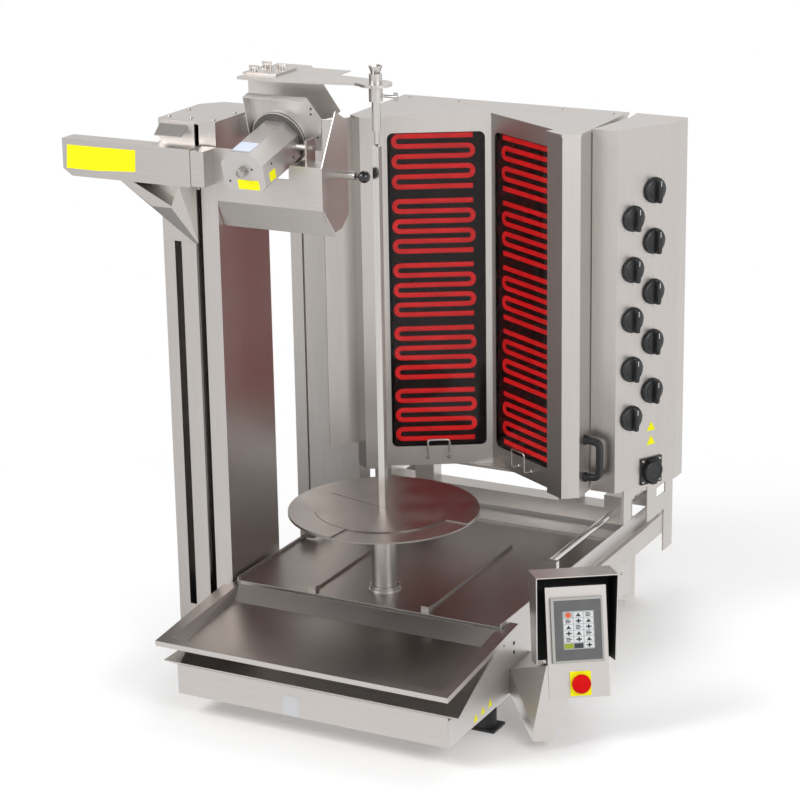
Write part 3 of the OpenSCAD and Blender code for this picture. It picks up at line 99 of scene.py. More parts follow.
class Drawing:
    """Turns millimetres of the drawing frame into metres of the row frame."""

    offset = Vector((0.0, 0.0, 0.0))

    @classmethod
    def settle(cls) -> None:
        """Finds the frame's place from the spit bar's packed box."""
        low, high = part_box("spit_bar")
        cls.offset = Vector(((low[0] + high[0]) / 2, (low[1] + high[1]) / 2 - SPIT_Y / MM_PER_M,
                             low[2] - BAR_FOOT_Z / MM_PER_M))

    @classmethod
    def matrix(cls) -> Matrix:
        """Matrix from drawing millimetres to row metres."""
        return Matrix.Translation(cls.offset) @ Matrix.Scale(1 / MM_PER_M, 4)

    @classmethod
    def point(cls, x: float, y: float, z: float) -> Vector:
        """A drawing point in row metres."""
        return cls.matrix() @ Vector((x, y, z))


def linear(hex_colour: str) -> tuple[float, float, float, float]:
    """Turns an sRGB hex colour into linear RGBA.

    Args:
        hex_colour: Six hex digits after a hash sign.

    Returns:
        Linear red, green, blue and an alpha of one.
    """
    parts = [int(hex_colour[i:i + 2], 16) / 255 for i in (1, 3, 5)]
    return (*(c / 12.92 if c <= 0.04045 else ((c + 0.055) / 1.055) ** 2.4 for c in parts), 1.0)


def add(tree: Tree, kind: str, inputs: dict | None = None, **settings: object) -> bpy.types.Node:
    """Adds one node with its settings, values and links.

    Args:
        tree: The node tree.
        kind: The node's type name.
        inputs: Socket name or number to a value, or to what feeds it: an output, or a node by its first output.
        settings: The node's own properties.

    Returns:
        The new node.
    """
    node = tree.nodes.new(kind)
    for key, value in settings.items():
        setattr(node, key, value)
    for key, value in (inputs or {}).items():
        if isinstance(value, bpy.types.Node):
            value = value.outputs[0]
        if isinstance(value, Socket):
            tree.links.new(value, node.inputs[key])
        else:
            node.inputs[key].default_value = value
    return node


def calc(tree: Tree, operation: str, first: object, second: object = 0.0) -> Socket:
    """Result of one math node."""
    return add(tree, "ShaderNodeMath", {0: first, 1: second}, operation=operation).outputs[0]


def span(tree: Tree, value: Socket, source: Pair, target: Pair = (0.0, 1.0), smooth: bool = False) -> Socket:
    """A value carried from one range to another and held inside it.

    Args:
        tree: The node tree.
        value: The output that is carried.
        source: Range that it comes from.
        target: Range that it goes to.
        smooth: Whether both ends are eased.

    Returns:
        The carried value.
    """
    return add(tree, "ShaderNodeMapRange", {"Value": value, "From Min": source[0], "From Max": source[1],
                                            "To Min": target[0], "To Max": target[1]},
               interpolation_type="SMOOTHSTEP" if smooth else "LINEAR").outputs["Result"]


def new_object(name: str, data: bpy.types.ID) -> bpy.types.Object:
    """A new object in the scene.

    Args:
        name: The object's name.
        data: Its mesh, lamp or camera.

    Returns:
        The object.
    """
    made = bpy.data.objects.new(name, data)
    bpy.context.scene.collection.objects.link(made)
    return made


# Finishes

# Most of a noise pattern lies in this range.
MIDDLE = (0.3, 0.7)


@dataclass
class Surface:
    """A material's tree and shader, with the steps that the finishes share."""

    tree: Tree
    shader: bpy.types.Node

    def place(self) -> Socket:
        """Object coordinates, in metres."""
        return add(self.tree, "ShaderNodeTexCoord").outputs["Object"]

    def noise(self, vector: Socket, scale: float, detail: float, roughness: float = 0.5) -> Socket:
        """Noise with a number of waves per metre."""
        return add(self.tree, "ShaderNodeTexNoise", {"Vector": vector, "Scale": scale, "Detail": detail,
                                                     "Roughness": roughness}).outputs["Fac"]

    def give(self, values: dict[str, object]) -> None:
        """Sets inputs of the shader."""
        for name, value in values.items():
            self.shader.inputs[name].default_value = value

    def feed(self, name: str, source: Socket) -> None:
        """Links one input of the shader."""
        self.tree.links.new(source, self.shader.inputs[name])

    def tint(self, factor: Socket, first: object, other: object, name: str = "Base Color") -> None:
        """Mixes two colours by a pattern into an input of the shader."""
        mix = add(self.tree, "ShaderNodeMix", {0: factor, 6: first, 7: other}, data_type="RGBA")
        self.feed(name, mix.outputs[2])

    def rough(self, value: Socket, source: Pair, middle: float, spread: Pair) -> None:
        """Lets a pattern set the roughness, from the middle plus one end of the spread to plus the other."""
        self.feed("Roughness", span(self.tree, value, source, (middle + spread[0], middle + spread[1])))

    def bump(self, height: Socket, strength: float, distance: float = 0.0002) -> None:
        """Lets a pattern set a fine relief, with its depth in metres."""
        node = add(self.tree, "ShaderNodeBump", {"Height": height, "Strength": strength, "Distance": distance})
        self.feed("Normal", node.outputs["Normal"])


@dataclass(frozen=True)
class Finish:
    """A surface finish, made into one shared material."""

    name: str
    colour: str
    slot: str
    metallic: float = 0.0
    roughness: float = 0.5
    gloss: float = field(default=0.5, kw_only=True)

    def material(self) -> bpy.types.Material:
        """Makes the finish's material, or returns the one that is there.

        Returns:
            The material.
        """
        made = bpy.data.materials.get(self.name)
        if not made:
            made = bpy.data.materials.new(self.name)
            made.use_nodes = True
            surface = Surface(made.node_tree, made.node_tree.nodes["Principled BSDF"])
            surface.give({"Base Color": linear(self.colour), "Metallic": self.metallic,
                          "Roughness": self.roughness, "Specular IOR Level": self.gloss})
            self.dress(surface)
        return made

    def dress(self, surface: Surface) -> None:
        """Adds the finish's own pattern; the plain finish gets a faint mottle."""
        cloud = surface.noise(surface.place(), 60.0, 4.0)
        surface.rough(cloud, (0.0, 1.0), self.roughness, (self.roughness * -0.15, self.roughness * 0.15))


@dataclass(frozen=True)
class BrushedSteel(Finish):
    """Stainless sheet, fine-brushed: faint streaks along one direction, soft wiping smears across them.

    The real grain is about 0.1 mm; it is drawn at streak_mm so that it shows from close by.
    """

    grain: Axis = Axis.X
    dark: str = "#C5C0BC"
    streak_mm: float = 0.9
    run_mm: float = 90.0
    smear_scale: float = 7.0
    spread: Pair = (-0.04, 0.05)
    relief: float = 0.03
    # Colour of painted shade on faces that look up; empty for none.
    grease: str = ""

    def dress(self, surface: Surface) -> None:
        """Streaks for colour, roughness and bump, and large soft smears.

        Args:
            surface: The material's tree and shader.
        """
        tree, place = surface.tree, surface.place()
        scale = [MM_PER_M / self.streak_mm] * 3
        scale[self.grain.value] = MM_PER_M / self.run_mm
        turned = add(tree, "ShaderNodeMapping", {"Vector": place, "Scale": tuple(scale)}).outputs["Vector"]
        streaks = surface.noise(turned, 1.0, 3.0, 0.6)
        smears = surface.noise(place, self.smear_scale, 3.0, 0.55)
        surface.tint(span(tree, streaks, MIDDLE), linear(self.colour), linear(self.dark))
        # Painted shade: faces that look up are darkened.
        if self.grease:
            self.paint_top_shade(surface)
        surface.rough(calc(tree, "ADD", streaks, smears), (0.6, 1.4), self.roughness, self.spread)
        surface.bump(streaks, self.relief)

    def paint_top_shade(self, surface: Surface) -> None:
        """Painted shade that darkens what faces up.

        Args:
            surface: The material's tree and shader.
        """
        steel = surface.shader.inputs["Base Color"].links[0].from_socket
        normal = add(surface.tree, "ShaderNodeTexCoord").outputs["Normal"]
        up = add(surface.tree, "ShaderNodeSeparateXYZ", {0: normal}).outputs["Z"]
        # Upward faces blend towards the painted shade colour.
        surface.tint(span(surface.tree, up, (0.5, 0.85)), steel, linear(self.grease))


@dataclass(frozen=True)
class TurnedSteel(Finish):
    """Steel faced on a lathe: rings about the spit, ring_mm wide so that they show."""

    dark: str = "#B9B4B0"
    ring_mm: float = 1.4
    wipe_scale: float = 12.0
    spread: Pair = (-0.05, 0.08)
    relief: float = 0.04

    def dress(self, surface: Surface) -> None:
        """Rings by the distance from the spit's axis, with faint wiping marks.

        Args:
            surface: The material's tree and shader.
        """
        tree, place = surface.tree, surface.place()
        centre = Drawing.point(0, SPIT_Y, 0)
        moved = add(tree, "ShaderNodeMapping", {"Vector": place, "Location": (-centre.x, -centre.y, 0),
                                                "Scale": (1, 1, 0)})
        reach = add(tree, "ShaderNodeVectorMath", {0: moved}, operation="LENGTH")
        rings = add(tree, "ShaderNodeTexNoise", {"W": reach.outputs["Value"], "Scale": MM_PER_M / self.ring_mm,
                                                 "Detail": 2.0}, noise_dimensions="1D").outputs["Fac"]
        surface.tint(span(tree, rings, MIDDLE), linear(self.colour), linear(self.dark))
        surface.rough(surface.noise(place, self.wipe_scale, 4.0), MIDDLE, self.roughness, self.spread)
        surface.bump(rings, self.relief)


@dataclass(frozen=True)
class MouldedPlastic(Finish):
    """Moulded plastic or rubber: a spark-eroded grain, drawn at about 1 mm, and a faint tone change."""

    grain_mm: float = 1.0
    other: str = "#303133"
    coat: float = 0.0
    wear_scale: float = 45.0
    spread: Pair = (0.08, -0.08)
    relief: float = 0.1

    def dress(self, surface: Surface) -> None:
        """Fine bump, and handling wear in the roughness.

        Args:
            surface: The material's tree and shader.
        """
        place = surface.place()
        wear = surface.noise(place, self.wear_scale, 3.0)
        surface.tint(span(surface.tree, wear, (0.35, 0.7)), linear(self.colour), linear(self.other))
        surface.rough(wear, (0.0, 1.0), self.roughness, self.spread)
        surface.bump(surface.noise(place, MM_PER_M / self.grain_mm, 2.0), self.relief, 0.0003)
        surface.give({"Coat Weight": self.coat})


@dataclass(frozen=True)
class HeatGlass(Finish):
    """Ceramic glass, polished and bloomed against reflections: clear, faintly smoky.

    The bloom is drawn as a low index, so that the glass gives back about 1 % of the light.
    """

    ior: float = 1.22

    def dress(self, surface: Surface) -> None:
        """Clear body, with faint wiping marks in the gloss."""
        surface.give({"Transmission Weight": 1.0, "IOR": self.ior})
        surface.rough(surface.noise(surface.place(), 9.0, 5.0), (0.4, 0.7), 0.0, (0.0, self.roughness))


@dataclass(frozen=True)
class GlowingCoil(Finish):
    """Resistance ribbon of wound iron-chrome wire, red hot: fine darker turns along each bar."""

    strength: float = 0.95
    turn_mm: float = 4.0
    cool: str = "#BE1216"
    cold: str = "#4A0C0C"

    def dress(self, surface: Surface) -> None:
        """Emission that changes with the wire's turns and along the bar.

        Args:
            surface: The material's tree and shader.
        """
        tree, place = surface.tree, surface.place()
        turns = surface.noise(place, MM_PER_M / self.turn_mm, 1.0)
        drift = surface.noise(place, 18.0, 2.0)
        share = span(tree, calc(tree, "ADD", turns, drift), (0.65, 1.35))
        surface.tint(share, linear(self.cool), linear(self.colour), "Emission Color")
        surface.give({"Emission Strength": self.strength, "Base Color": linear(self.cold)})


@dataclass(frozen=True)
class LitScreen(Finish):
    """Glass of a small display, lit from behind."""

    strength: float = 0.22
    dim: str = "#8E9293"

    def dress(self, surface: Surface) -> None:
        """Even glow with a faint cloud.

        Args:
            surface: The material's tree and shader.
        """
        surface.tint(surface.noise(surface.place(), 14.0, 1.0), linear(self.colour), linear(self.dim),
                     "Emission Color")
        surface.give({"Emission Strength": self.strength})


def sheet(state: str, grain: Axis, grease: str = "") -> BrushedSteel:
    """Stainless sheet with its grain along one axis, bare or with painted shade on what faces up."""
    name = f"{state}_stainless_sheet_{grain.name.lower()}"
    return BrushedSteel(name, "#CFCAC6", "steel", 1.0, 0.36, grain=grain, grease=grease)


# Brushed austenitic stainless sheet gives the eye a pale warm grey with fine streaks.
STEEL_X, STEEL_Y, STEEL_Z = (sheet("brushed", axis) for axis in Axis)
# The same sheet in the trays, with painted shade darkening what faces up.
SHADED_TRAY_X, SHADED_TRAY_Y = (sheet("greased", axis, "#86807C") for axis in (Axis.X, Axis.Y))
# Blasted and brushed sheet scatters more, so it looks satin and even.
HEAD_STEEL = BrushedSteel("satin_stainless_housing", "#D4D0CD", "steel", 0.86, 0.42, grain=Axis.Y, dark="#CCC8C5")
# Drawn and ground bar is brighter and smoother.
BAR_STEEL = BrushedSteel("ground_stainless_bar", "#D6D3D0", "bright", 1.0, 0.17, grain=Axis.Z, streak_mm=1.2)
ROD_STEEL = BrushedSteel("ground_chromed_rod", "#DEDDDC", "bright", 1.0, 0.12, grain=Axis.Y, streak_mm=1.2)
# Plate faced on a lathe and browned by use shows rings.
DISC_STEEL = TurnedSteel("turned_stainless_plate", "#9C9692", "machined", 1.0, 0.34, dark="#8C8682")
# Screws: cold-headed stainless, and blackened steel on the head.
BOLT_STEEL = Finish("cold_headed_stainless_screw", "#B9B5B1", "bright", 1.0, 0.24)
DARK_BOLT = Finish("blackened_machine_screw", "#3B3A39", "dark_metal", 0.8, 0.4)
# Hobbed steel of the gear pair, and the powder-coated housings of the motors.
GEAR_STEEL = Finish("hobbed_carbon_steel", "#8F8D8B", "machined", 1.0, 0.38)
DARK_METAL = MouldedPlastic("powder_coated_cast_housing", "#1C1D1F", "dark_metal", 0.0, 0.45, other="#2A2B2D")
# Bearing bronze is a warm brown metal.
BRONZE = Finish("turned_bearing_bronze", "#B08A50", "bronze", 1.0, 0.32)
# Heater panel: clear ceramic glass, a red-hot ribbon and a sooty fibre board.
GLASS = HeatGlass("polished_ceramic_glass", "#DAD8D8", "glass", 0.0, 0.06)
COIL = GlowingCoil("glowing_iron_chrome_ribbon", "#F01C1C", "element", 0.0, 0.6)
BOARD = MouldedPlastic("pressed_fibre_board", "#1B1413", "board", 0.0, 0.85, grain_mm=2.0, other="#241918")
# Moulded polyamide of knobs and handles is near black, with soft highlights.
POLYAMIDE = MouldedPlastic("moulded_black_polyamide", "#1A1B1D", "black_plastic", 0.0, 0.38, other="#232426")
# Phenolic ball knobs are glossy, rubber feet are matt.
PHENOLIC = MouldedPlastic("polished_black_phenolic", "#0B0B0C", "black_gloss", 0.0, 0.12, other="#0F0F10", coat=0.5)
RUBBER = MouldedPlastic("moulded_black_rubber", "#151516", "rubber", 0.0, 0.7, grain_mm=1.6, other="#1F1F20")
# Printed vinyl and polyester films are flat in colour, with hardly any gloss.
YELLOW = Finish("yellow_vinyl_film", "#F0EB10", "stop_red", 0.0, 0.5, gloss=0.15)
FILM_GREY = Finish("pale_grey_vinyl_film", "#BFC0C2", "steel", 0.0, 0.4)
PALE_BLUE = Finish("pale_blue_polyester_film", "#CBD3E2", "screen", 0.0, 0.35)
# The stop button is red ABS with a soft sheen.
STOP_RED = MouldedPlastic("moulded_red_abs", "#CE0202", "stop_red", 0.0, 0.5, grain_mm=1.4, other="#C60202",
                          gloss=0.12)
# Display: anodised strip, grey ABS frame, lit glass and flat inks.
FRAME_GREY = Finish("pale_grey_anodised_strip", "#A9A7A4", "screen", 0.6, 0.4)
BEZEL = MouldedPlastic("moulded_grey_abs", "#565656", "screen", 0.0, 0.42, other="#5C5C5C")
SCREEN = LitScreen("lit_display_glass", "#9DA1A2", "screen", 0.0, 0.2)
MARK_DARK = Finish("dark_screen_ink", "#2C2E31", "screen", 0.0, 0.4)
MARK_PALE = Finish("pale_screen_ink", "#CDCECF", "screen", 0.0, 0.35)
MARK_OLIVE = Finish("olive_screen_ink", "#8C9A1E", "screen", 0.0, 0.4)
MARK_ORANGE = Finish("orange_screen_ink", "#D4572B", "screen", 0.0, 0.35)
# Black painted shade for the hood lining, dark grey painted shade on the blade guard, both satin, and grey pad print.
# This black paints the shade inside the hood; it also serves the stop collar and the plugged holes.
SHADOW_BLACK = MouldedPlastic("satin_black_enamel", "#0D0D0C", "dark_metal", 0.0, 0.6, other="#131312")
# Dark grey painted shade on the blade guard.
GUARD_SHADE_GREY = MouldedPlastic("satin_grey_enamel", "#4E4B48", "dark_metal", 0.0, 0.45, other="#55514E")
PRINT_GREY = Finish("grey_pad_print", "#8E8C8A", "black_plastic", 0.0, 0.5)

CAD_FINISHES: dict[Finish, tuple[str, ...]] = {
    HEAD_STEEL: ("head_housing", "base_housing"),
    SHADED_TRAY_X: ("catch_tray",),
    SHADED_TRAY_Y: ("floor_tray",),
    STEEL_X: ("drawer_pan", "crossbeam", "heater_cover", "lift_slider", "arm_box", "carriage_plate",
              "top_bracket", "hmi_support", "hmi_panel", "arm_clamp"),
    STEEL_Y: ("side_frames", "spit_arm", "floor_collar"),
    STEEL_Z: ("tower_shell", "heater_housing", "panel_frames", "left_shield", "control_box", "rear_legs", "pedestal"),
    BAR_STEEL: ("spit_bar", "spindle", "lift_screw", "lift_rails"),
    ROD_STEEL: ("heater_guides", "panel_bails", "blade"),
    DISC_STEEL: ("spit_disc",),
    BOLT_STEEL: ("thumb_screw", "head_knob"),
    GEAR_STEEL: ("drive_gear", "drive_pinion"),
    DARK_METAL: ("spit_motor", "lift_motor"),
    BRONZE: ("spit_bearings",),
    GLASS: ("glass_panels",),
    COIL: ("heating_elements",),
    BOARD: ("insulation",),
    POLYAMIDE: ("side_handle", "heat_switches", "inlet_socket", "inlet_lid"),
    PHENOLIC: ("plunger",),
    RUBBER: ("feet",),
    BEZEL: ("hmi_screen",),
    STOP_RED: ("stop_button",),
}


# Mesh building


@dataclass
class Draft:
    """A mesh in the making, in drawing millimetres."""

    bm: bmesh.types.BMesh = field(default_factory=bmesh.new)

    def skin(self, loops: list[list[Vector]]) -> None:
        """Adds faces between loops of points and over both ends.

        Args:
            loops: Loops with one number of points each, or with a single point for a tip.
        """
        rings = [[self.bm.verts.new(p) for p in loop] for loop in loops]
        count = max(len(ring) for ring in rings)
        for low, top in zip(rings, rings[1:]):
            for i in range(count):
                j = (i + 1) % count
                corners = [low[i % len(low)], low[j % len(low)], top[j % len(top)], top[i % len(top)]]
                unique = list(dict.fromkeys(corners))
                if len(unique) > 2:
                    self.bm.faces.new(unique)
        for ring in (rings[0][::-1], rings[-1]):
            if len(ring) > 1:
                self.bm.faces.new(ring)

    def prism(self, outline: Outline, low: float, high: float, place: Matrix = Matrix()) -> None:
        """Adds a flat outline drawn out along the local z axis.

        Args:
            outline: Corners, counter-clockwise seen from +z.
            low: Lower end.
            high: Upper end.
            place: Local frame to drawing frame.
        """
        self.skin([[place @ Vector((x, y, h)) for x, y in outline] for h in (low, high)])

    def block(self, low: Point, high: Point, place: Matrix = Matrix()) -> None:
        """Adds a box between two corners."""
        self.prism(rectangle((low[0], high[0], low[1], high[1])), low[2], high[2], place)

    def lathe(self, profile: Outline, place: Matrix = Matrix(), segments: int = 48) -> None:
        """Adds a turned body.

        Args:
            profile: Radius and height pairs from the lower end to the upper, on the outside.
            place: Local frame, z along the axis, to drawing frame.
            segments: Steps round the axis.
        """
        self.skin([[place @ Vector((x, y, h)) for x, y in circle(r, segments if r else 1)] for r, h in profile])

    def sweep(self, path: list[Vector], profile: Outline, up: Vector) -> None:
        """Adds a section drawn along a path, with flat ends.

        Args:
            path: Points of the middle line.
            profile: Section, counter-clockwise, x across and y along up.
            up: Direction that the section's y keeps to.
        """
        loops = []
        for i, p in enumerate(path):
            run = (path[min(i + 1, len(path) - 1)] - path[max(i - 1, 0)]).normalized()
            side = run.cross(up).normalized()
            rise = side.cross(run)
            loops.append([p + side * x + rise * y for x, y in profile])
        self.skin(loops)

    def piece(self, name: str, body: str, finish: Finish, smooth: bool = True,
              replaces: tuple[str, ...] = ()) -> None:
        """Turns the draft into a finished piece of the scene.

        Args:
            name: The piece's name.
            body: The CAD body that it rides on.
            finish: Its surface finish.
            smooth: Whether its curved faces are shaded smooth.
            replaces: CAD nodes that it stands for.
        """
        bmesh.ops.remove_doubles(self.bm, verts=self.bm.verts, dist=0.001)
        bmesh.ops.recalc_face_normals(self.bm, faces=self.bm.faces)
        self.bm.transform(Drawing.matrix())
        mesh = bpy.data.meshes.new(name)
        self.bm.to_mesh(mesh)
        self.bm.free()
        settle_piece(mesh, name, body, finish, smooth, replaces)


def settle_piece(mesh: bpy.types.Mesh, name: str, body: str, finish: Finish, smooth: bool = True,
                 replaces: tuple[str, ...] = ()) -> None:
    """Links a mesh in row metres as a piece, with its finish, body and node.

    Args:
        mesh: The piece's mesh.
        name: The piece's name.
        body: The CAD body that it rides on.
        finish: Its surface finish.
        smooth: Whether its curved faces are shaded smooth.
        replaces: CAD nodes that it stands for.
    """
    piece = new_object(name, mesh)
    mesh.materials.clear()
    mesh.materials.append(finish.material())
    if smooth:
        mesh.shade_smooth()
        mesh.set_sharp_from_angle(angle=SHARP_ANGLE)
    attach(piece, body)
    if replaces:
        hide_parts(*replaces)
    log.info("%s on %s", name, body)


def flat_piece(name: str, body: str, finish: Finish, *shapes: tuple[Outline, float, float, Matrix]) -> None:
    """A piece of flat prisms, each with its outline, lower end, higher end and place.

    Args:
        name: The piece's name.
        body: The CAD body that it rides on.
        finish: Its surface finish.
        shapes: What Draft.prism takes, once for each prism.
    """
    draft = Draft()
    for shape in shapes:
        draft.prism(*shape)
    draft.piece(name, body, finish, smooth=False)


def circle(r: float, steps: int) -> Outline:
    """Points round a circle, counter-clockwise."""
    return [(r * math.cos(a), r * math.sin(a)) for a in (math.tau * k / steps for k in range(steps))]


def rectangle(box: Rect) -> Outline:
    """A rectangle from its left, right, lower and upper side, counter-clockwise."""
    x0, x1, y0, y1 = box
    return [(x0, y0), (x1, y0), (x1, y1), (x0, y1)]


def rounded_outline(box: Rect, r: float, steps: int = 5) -> Outline:
    """A rectangle with rounded corners, counter-clockwise.

    Args:
        box: Left, right, lower and upper side.
        r: Radius of the corners.
        steps: Steps round each corner.

    Returns:
        The outline's points.
    """
    (x0, x1, y0, y1), points = box, []
    for cx, cy, start in ((x1 - r, y1 - r, 0), (x0 + r, y1 - r, 90), (x0 + r, y0 + r, 180), (x1 - r, y0 + r, 270)):
        for k in range(steps + 1):
            a = math.radians(start + 90 * k / steps)
            points.append((cx + r * math.cos(a), cy + r * math.sin(a)))
    return points


def rounded_path(corners: list[Point], radius: float, steps: int = 6) -> list[Vector]:
    """A path through corners, each rounded with the same radius.

    Args:
        corners: The path's ends and corners.
        radius: Distance from a corner to where its bend starts.
        steps: Steps round each bend.

    Returns:
        The path's points.
    """
    points = [Vector(corners[0])]
    for before, here, after in zip(corners, corners[1:], corners[2:]):
        a, p, b = Vector(before), Vector(here), Vector(after)
        start = p + (a - p).normalized() * radius
        end = p + (b - p).normalized() * radius
        for k in range(steps + 1):
            t = k / steps
            points.append(start * (1 - t) ** 2 + p * 2 * t * (1 - t) + end * t ** 2)
    points.append(Vector(corners[-1]))
    return points


def quarter(axis: str, turns: float = 1.0) -> Matrix:
    """A turn about an axis, in quarters."""
    return Matrix.Rotation(math.radians(90 * turns), 4, axis)


def facing(origin: Point, outward: Vector, up: Vector = UP) -> Matrix:
    """Local frame on a face: x to the viewer's right, y up, z outward.

    Args:
        origin: The frame's origin.
        outward: Direction that the face looks along.
        up: Direction that the y axis keeps to.

    Returns:
        Local frame to drawing frame.
    """
    z = outward.normalized()
    x = up.cross(z).normalized()
    y = z.cross(x)
    turn = Matrix((x, y, z)).transposed().to_4x4()
    return Matrix.Translation(Vector(origin)) @ turn


# Geometry Nodes


def new_tree(name: str, inputs: dict[str, tuple[str, object]]) -> tuple[Tree, bpy.types.Node]:
    """Starts a geometry tree with named inputs.

    Args:
        name: The tree's name.
        inputs: Input name to the socket's kind and value, after the geometry.

    Returns:
        The tree and its Group Input node.
    """
    tree = bpy.data.node_groups.new(name, "GeometryNodeTree")
    tree.interface.new_socket("Geometry", in_out="INPUT", socket_type="NodeSocketGeometry")
    for label, (kind, value) in inputs.items():
        socket = tree.interface.new_socket(label, in_out="INPUT", socket_type="NodeSocket" + kind)
        if value is not None:
            socket.default_value = value
    tree.interface.new_socket("Geometry", in_out="OUTPUT", socket_type="NodeSocketGeometry")
    return tree, add(tree, "NodeGroupInput")


def close_tree(tree: Tree, geometry: bpy.types.Node, material: Socket) -> None:
    """Ends a tree in real geometry with its material.

    Args:
        tree: The geometry tree.
        geometry: The node that gives the instances.
        material: The input that holds the material.
    """
    real = add(tree, "GeometryNodeRealizeInstances", {"Geometry": geometry})
    dressed = add(tree, "GeometryNodeSetMaterial", {"Geometry": real, "Material": material})
    add(tree, "NodeGroupOutput", {"Geometry": dressed})


def grown_mesh(seed: bpy.types.Mesh, tree: Tree, values: dict[str, object]) -> bpy.types.Mesh:
    """Runs a geometry tree on a mesh and returns the plain result.

    Args:
        seed: The mesh that the tree starts from.
        tree: The geometry tree.
        values: Input name to value.

    Returns:
        A mesh with the tree's result.
    """
    holder = new_object("grower", seed)
    modifier = holder.modifiers.new("tree", "NODES")
    modifier.node_group = tree
    for item in tree.interface.items_tree:
        if item.item_type == "SOCKET" and item.in_out == "INPUT" and item.name in values:
            modifier[item.identifier] = values[item.name]
    shown = holder.evaluated_get(bpy.context.evaluated_depsgraph_get())
    mesh = bpy.data.meshes.new_from_object(shown)
    holder.modifiers.remove(modifier)
    bpy.data.objects.remove(holder)
    return mesh


def serpentine_tree() -> Tree:
    """A ribbon that runs to and fro, in zones over one another, in the x-z plane.

    Returns:
        The geometry tree.
    """
    tree, given = new_tree("serpentine_ribbon", {
        "Bars": ("Int", 6), "Zones": ("Int", 5), "Pitch": ("Float", 0.0232), "Zone Pitch": ("Float", 0.1495),
        "Left": ("Float", 0.0), "Right": ("Float", 0.2), "Width": ("Float", 0.011), "Thickness": ("Float", 0.0024),
        "Finish": ("Material", None)})
    get = given.outputs
    points = calc(tree, "MULTIPLY", get["Bars"], 2.0)
    line = add(tree, "GeometryNodeMeshLine", {"Count": points, "Offset": (0.001, 0, 0)})
    index = add(tree, "GeometryNodeInputIndex").outputs["Index"]
    bar = calc(tree, "FLOOR", calc(tree, "MULTIPLY", index, 0.5))
    corner = calc(tree, "ADD", bar, calc(tree, "MODULO", index, 2.0))
    across = add(tree, "ShaderNodeMix", {0: calc(tree, "MODULO", corner, 2.0), 2: get["Left"], 3: get["Right"]},
                 data_type="FLOAT")
    down = calc(tree, "MULTIPLY", calc(tree, "MULTIPLY", bar, get["Pitch"]), -1.0)
    spot = add(tree, "ShaderNodeCombineXYZ", {"X": across, "Z": down})
    bent = add(tree, "GeometryNodeSetPosition", {"Geometry": line, "Position": spot})
    path = add(tree, "GeometryNodeMeshToCurve", {"Mesh": bent})
    bend = calc(tree, "MULTIPLY", get["Pitch"], 0.499)
    soft = add(tree, "GeometryNodeFilletCurve", {"Curve": path, "Count": 7, "Radius": bend}, mode="POLY")
    section = add(tree, "GeometryNodeCurvePrimitiveQuadrilateral", {"Width": get["Thickness"], "Height": get["Width"]})
    edge = calc(tree, "MULTIPLY", get["Thickness"], 0.45)
    rounded = add(tree, "GeometryNodeFilletCurve", {"Curve": section, "Count": 2, "Radius": edge}, mode="POLY")
    ribbon = add(tree, "GeometryNodeCurveToMesh", {"Curve": soft, "Fill Caps": True, "Profile Curve": rounded})
    gap = add(tree, "ShaderNodeCombineXYZ", {"Z": calc(tree, "MULTIPLY", get["Zone Pitch"], -1.0)})
    zones = add(tree, "GeometryNodeMeshLine", {"Count": get["Zones"], "Offset": gap})
    stack = add(tree, "GeometryNodeInstanceOnPoints", {"Points": zones, "Instance": ribbon})
    close_tree(tree, stack, get["Finish"])
    return tree


def screw_tree() -> Tree:
    """Pan-head screws with a hexagon socket, one on each point, along the point's outward attribute.

    Returns:
        The geometry tree.
    """
    tree, given = new_tree("screw_heads", {"Head Radius": ("Float", 0.004), "Head Height": ("Float", 0.002),
                                           "Finish": ("Material", None)})
    get = given.outputs
    r, h = get["Head Radius"], get["Head Height"]
    top_r = calc(tree, "MULTIPLY", r, 0.78)
    head = add(tree, "GeometryNodeMeshCone", {"Vertices": 20, "Radius Bottom": r, "Radius Top": top_r, "Depth": h})
    key_r = calc(tree, "MULTIPLY", r, 0.42)
    drill = add(tree, "GeometryNodeMeshCylinder", {"Vertices": 6, "Radius": key_r, "Depth": h})
    shift = add(tree, "ShaderNodeCombineXYZ", {"Z": calc(tree, "MULTIPLY", h, 0.9)})
    raised = add(tree, "GeometryNodeTransform", {"Geometry": drill, "Translation": shift})
    screw = add(tree, "GeometryNodeMeshBoolean", {0: head, 1: raised}, operation="DIFFERENCE")
    normal = add(tree, "GeometryNodeInputNamedAttribute", {"Name": "outward"}, data_type="FLOAT_VECTOR")
    turn = add(tree, "FunctionNodeAlignRotationToVector", {"Vector": normal}, axis="Z")
    heads = add(tree, "GeometryNodeInstanceOnPoints", {"Points": get["Geometry"], "Instance": screw, "Rotation": turn})
    close_tree(tree, heads, get["Finish"])
    return tree


@dataclass
class Screws:
    """Screw heads on one body."""

    body: str
    name: str
    radius_mm: float = 4.0
    height_mm: float = 2.0
    spots: list[tuple[Point, Vector]] = field(default_factory=list)

    def at(self, outward: Vector, *points: Point, place: Matrix = Matrix()) -> "Screws":
        """Adds screws that look along outward, at points of a local frame."""
        self.spots += [(place @ Vector(p), place.to_3x3() @ outward) for p in points]
        return self

    def build(self, finish: Finish = BOLT_STEEL) -> None:
        """Makes all the heads as one piece.

        Args:
            finish: The heads' finish.
        """
        seed = bpy.data.meshes.new(self.name + "_spots")
        seed.from_pydata([Drawing.point(*p) for p, _ in self.spots], [], [])
        layer = seed.attributes.new("outward", "FLOAT_VECTOR", "POINT")
        for i, (_, outward) in enumerate(self.spots):
            layer.data[i].vector = outward.normalized()
        tree = bpy.data.node_groups.get("screw_heads") or screw_tree()
        mesh = grown_mesh(seed, tree, {"Head Radius": self.radius_mm / MM_PER_M,
                                       "Head Height": self.height_mm / MM_PER_M, "Finish": finish.material()})
        settle_piece(mesh, self.name, self.body, finish)


# Sub-assemblies


